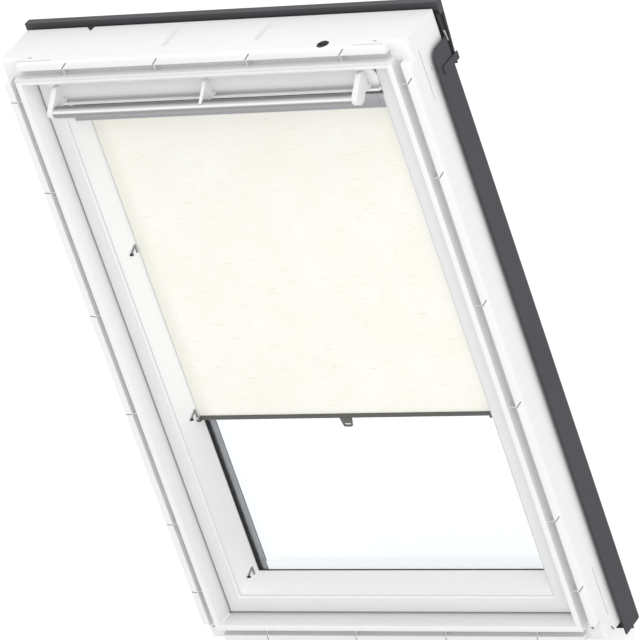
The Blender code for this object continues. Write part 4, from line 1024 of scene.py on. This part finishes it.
for strip in range(STRIPS):
    shape = bmesh.new()
    grid = []
    for row in range(STRIP_ROWS, -1, -1):
        down = (strip * STRIP_ROWS + row) / (STRIPS * STRIP_ROWS)
        height = FABRIC_TOP - FABRIC_LENGTH * down
        line = []
        for column in range(COLUMNS + 1):
            across = -BLIND_HALF + 2 * BLIND_HALF * column / COLUMNS
            wave = (WAVE * math.sin(math.pi * down)
                    * math.sin(across * WAVE_ACROSS + height * WAVE_DOWN))
            line.append(shape.verts.new((across, FABRIC_DEPTH - FRAME_DEPTH / 2 + wave, height)))
        grid.append(line)
    for below, above in zip(grid, grid[1:]):
        for i in range(COLUMNS):
            shape.faces.new((below[i], below[i + 1], above[i + 1], above[i]))
    cloth = thickened(made(f"blind_cloth_{strip + 1}", shape), FABRIC_THICKNESS, -1)
    show(cloth, cream, None, ["fabric"])
    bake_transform(cloth)

ROLLER = (43.5, 876)
ROLL_START, ROLL_END = 6.35, 8
TURNS = 4
TURN_STEPS = 24
spiral = []
for k in range(TURN_STEPS * TURNS + 1):
    radius = ROLL_START + (ROLL_END - ROLL_START) * k / (TURN_STEPS * TURNS)
    angle = math.radians(360 * k / TURN_STEPS)
    spiral.append(((ROLLER[0] + radius * math.cos(angle)) * MM,
                   (ROLLER[1] + radius * math.sin(angle)) * MM))
roll_shape = bmesh.new()
ends = [[roll_shape.verts.new((x, depth - FRAME_DEPTH / 2, height)) for depth, height in spiral]
        for x in (-BLIND_HALF, BLIND_HALF)]
for k in range(len(spiral) - 1):
    roll_shape.faces.new((ends[0][k], ends[0][k + 1], ends[1][k + 1], ends[1][k]))
roll = thickened(made("blind_cloth_roll", roll_shape), 0.3 * MM, 0)
show(roll, cream, "roller", ["wound_fabric"])


# Winding spring
# The long steel coil inside the roller tube that draws the cloth up. It follows a helix, so a
# small node tree sweeps round wire along one.
SPRING_SIZES = {"Coil Radius": 3.8 * MM, "Wire Radius": 0.45 * MM, "Length": 0.3, "Turns": 80.0}
spring_tree, given, spring_sockets = geometry_tree("wound_wire", SPRING_SIZES)
helix = add(spring_tree, "GeometryNodeCurveSpiral",
            {"Resolution": 10, "Start Radius": given["Coil Radius"],
             "End Radius": given["Coil Radius"], "Height": given["Length"],
             "Rotations": given["Turns"]})
wire = add(spring_tree, "GeometryNodeCurvePrimitiveCircle",
           {"Resolution": 6, "Radius": given["Wire Radius"]})
sweep = add(spring_tree, "GeometryNodeCurveToMesh",
            {"Curve": helix.outputs[0], "Profile Curve": wire.outputs[0], "Fill Caps": True})
lay = add(spring_tree, "GeometryNodeTransform",
          {"Geometry": sweep.outputs[0], "Rotation": (0, math.pi / 2, 0),
           "Translation": (-SPRING_SIZES["Length"] / 2, ROLLER[0] * MM - FRAME_DEPTH / 2,
                           ROLLER[1] * MM)})
ended(spring_tree, lay.outputs[0], zinc)
spring = grown("winding_spring_wire", [(0, 0, 0)], spring_tree, spring_sockets, SPRING_SIZES)
show(spring, zinc, "roller", ["winding_spring"], 60)


# Bottom bar, caps and pull tab
# A slim aluminium bar, lacquered dark grey, in the hem of the cloth. Its grey end caps reach
# forward to the pins that go under the hooks, and a moulded tab hangs from its middle.
grey_bar = finish("grey_bar", (0.115, 0.115, 0.105), 0.38, 0.3, skin_size=60, bump=0.05,
                  stretch=(1, 40, 40))
grey_plastic = finish("grey_plastic", (0.13, 0.13, 0.12), 0.4)
BAR_HEM = rounded([(49, 353.4, 1.2), (53.5, 353.4, 1.2), (53.5, 359.4, 1.2), (49, 359.4, 1.2)])
show(made("bottom_bar_profile", prism(BAR_HEM, "X", -239.7 * MM, 239.7 * MM)), grey_bar,
     "blind_bar", ["bottom_bar"])
CAP = rounded([(43.2, 353.4, 1.2), (53.5, 353.4, 1.2), (53.5, 359.4, 1.2), (49, 359.4, 1.2),
               (43.2, 356.6, 1)])
for side, sign in (("left", -1), ("right", 1)):
    cap = made("bar_cap_moulding_" + side, together(
        mirrored(prism(CAP, "X", 240 * MM, 242.6 * MM), sign),
        mirrored(prism(arc((44.8, 355), 1.2, 0, 345, 23), "X", 241 * MM, 245.8 * MM), sign)))
    show(cap, grey_plastic, "blind_bar", ["bar_cap_" + side])
TAB = rounded([(10, 353.1, 0.4), (7.3, 339.6, 1.2), (5.8, 338.1, 1.2), (-5.8, 338.1, 1.2),
               (-7.3, 339.6, 1.2), (-10, 353.1, 0.4)])
tab = made("pull_tab_moulding", prism(TAB, "Y", 50.25 * MM, 52.25 * MM))
slot_outline = rounded([(5.5, 341.1, 0.8), (5.5, 343.6, 0.8), (-5.5, 343.6, 0.8),
                        (-5.5, 341.1, 0.8)])
cut(tab, prism(slot_outline, "Y", 45 * MM, 55 * MM))
settled(bevelled(tab, 0.35 * MM))
show(tab, grey_plastic, "blind_bar", ["pull_tab"], 50)


# Side hooks
# Bent steel plates on the stiles' sloping faces. The bar's pins rest under their bends, and a
# screw with a black cap holds each one at its foot.
hook_steel = finish("hook_steel", (0.34, 0.34, 0.335), 0.4, 0.3, cloud=0.3, skin_size=350)
SCREW_DEPTH = 38.9 * MM
SCREW_DROP = 9.8 * MM
SCREW_RADIUS = 2.2 * MM
for level, height in (("upper", 649), ("middle", 371), ("lower", 99)):
    for side in ("left", "right"):
        hook = node[f"hook_{level}_{side}"]
        dressed(hook.name, hook_steel, 0.12 * MM)
        hook.data.materials.append(black_plastic)
        for face in hook.data.polygons:
            if math.hypot(face.center.y + FRAME_DEPTH / 2 - SCREW_DEPTH,
                          face.center.z + SCREW_DROP - height * MM) < SCREW_RADIUS:
                face.material_index = 1


# Size
# The finished window's corners, in metres.
low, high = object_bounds()
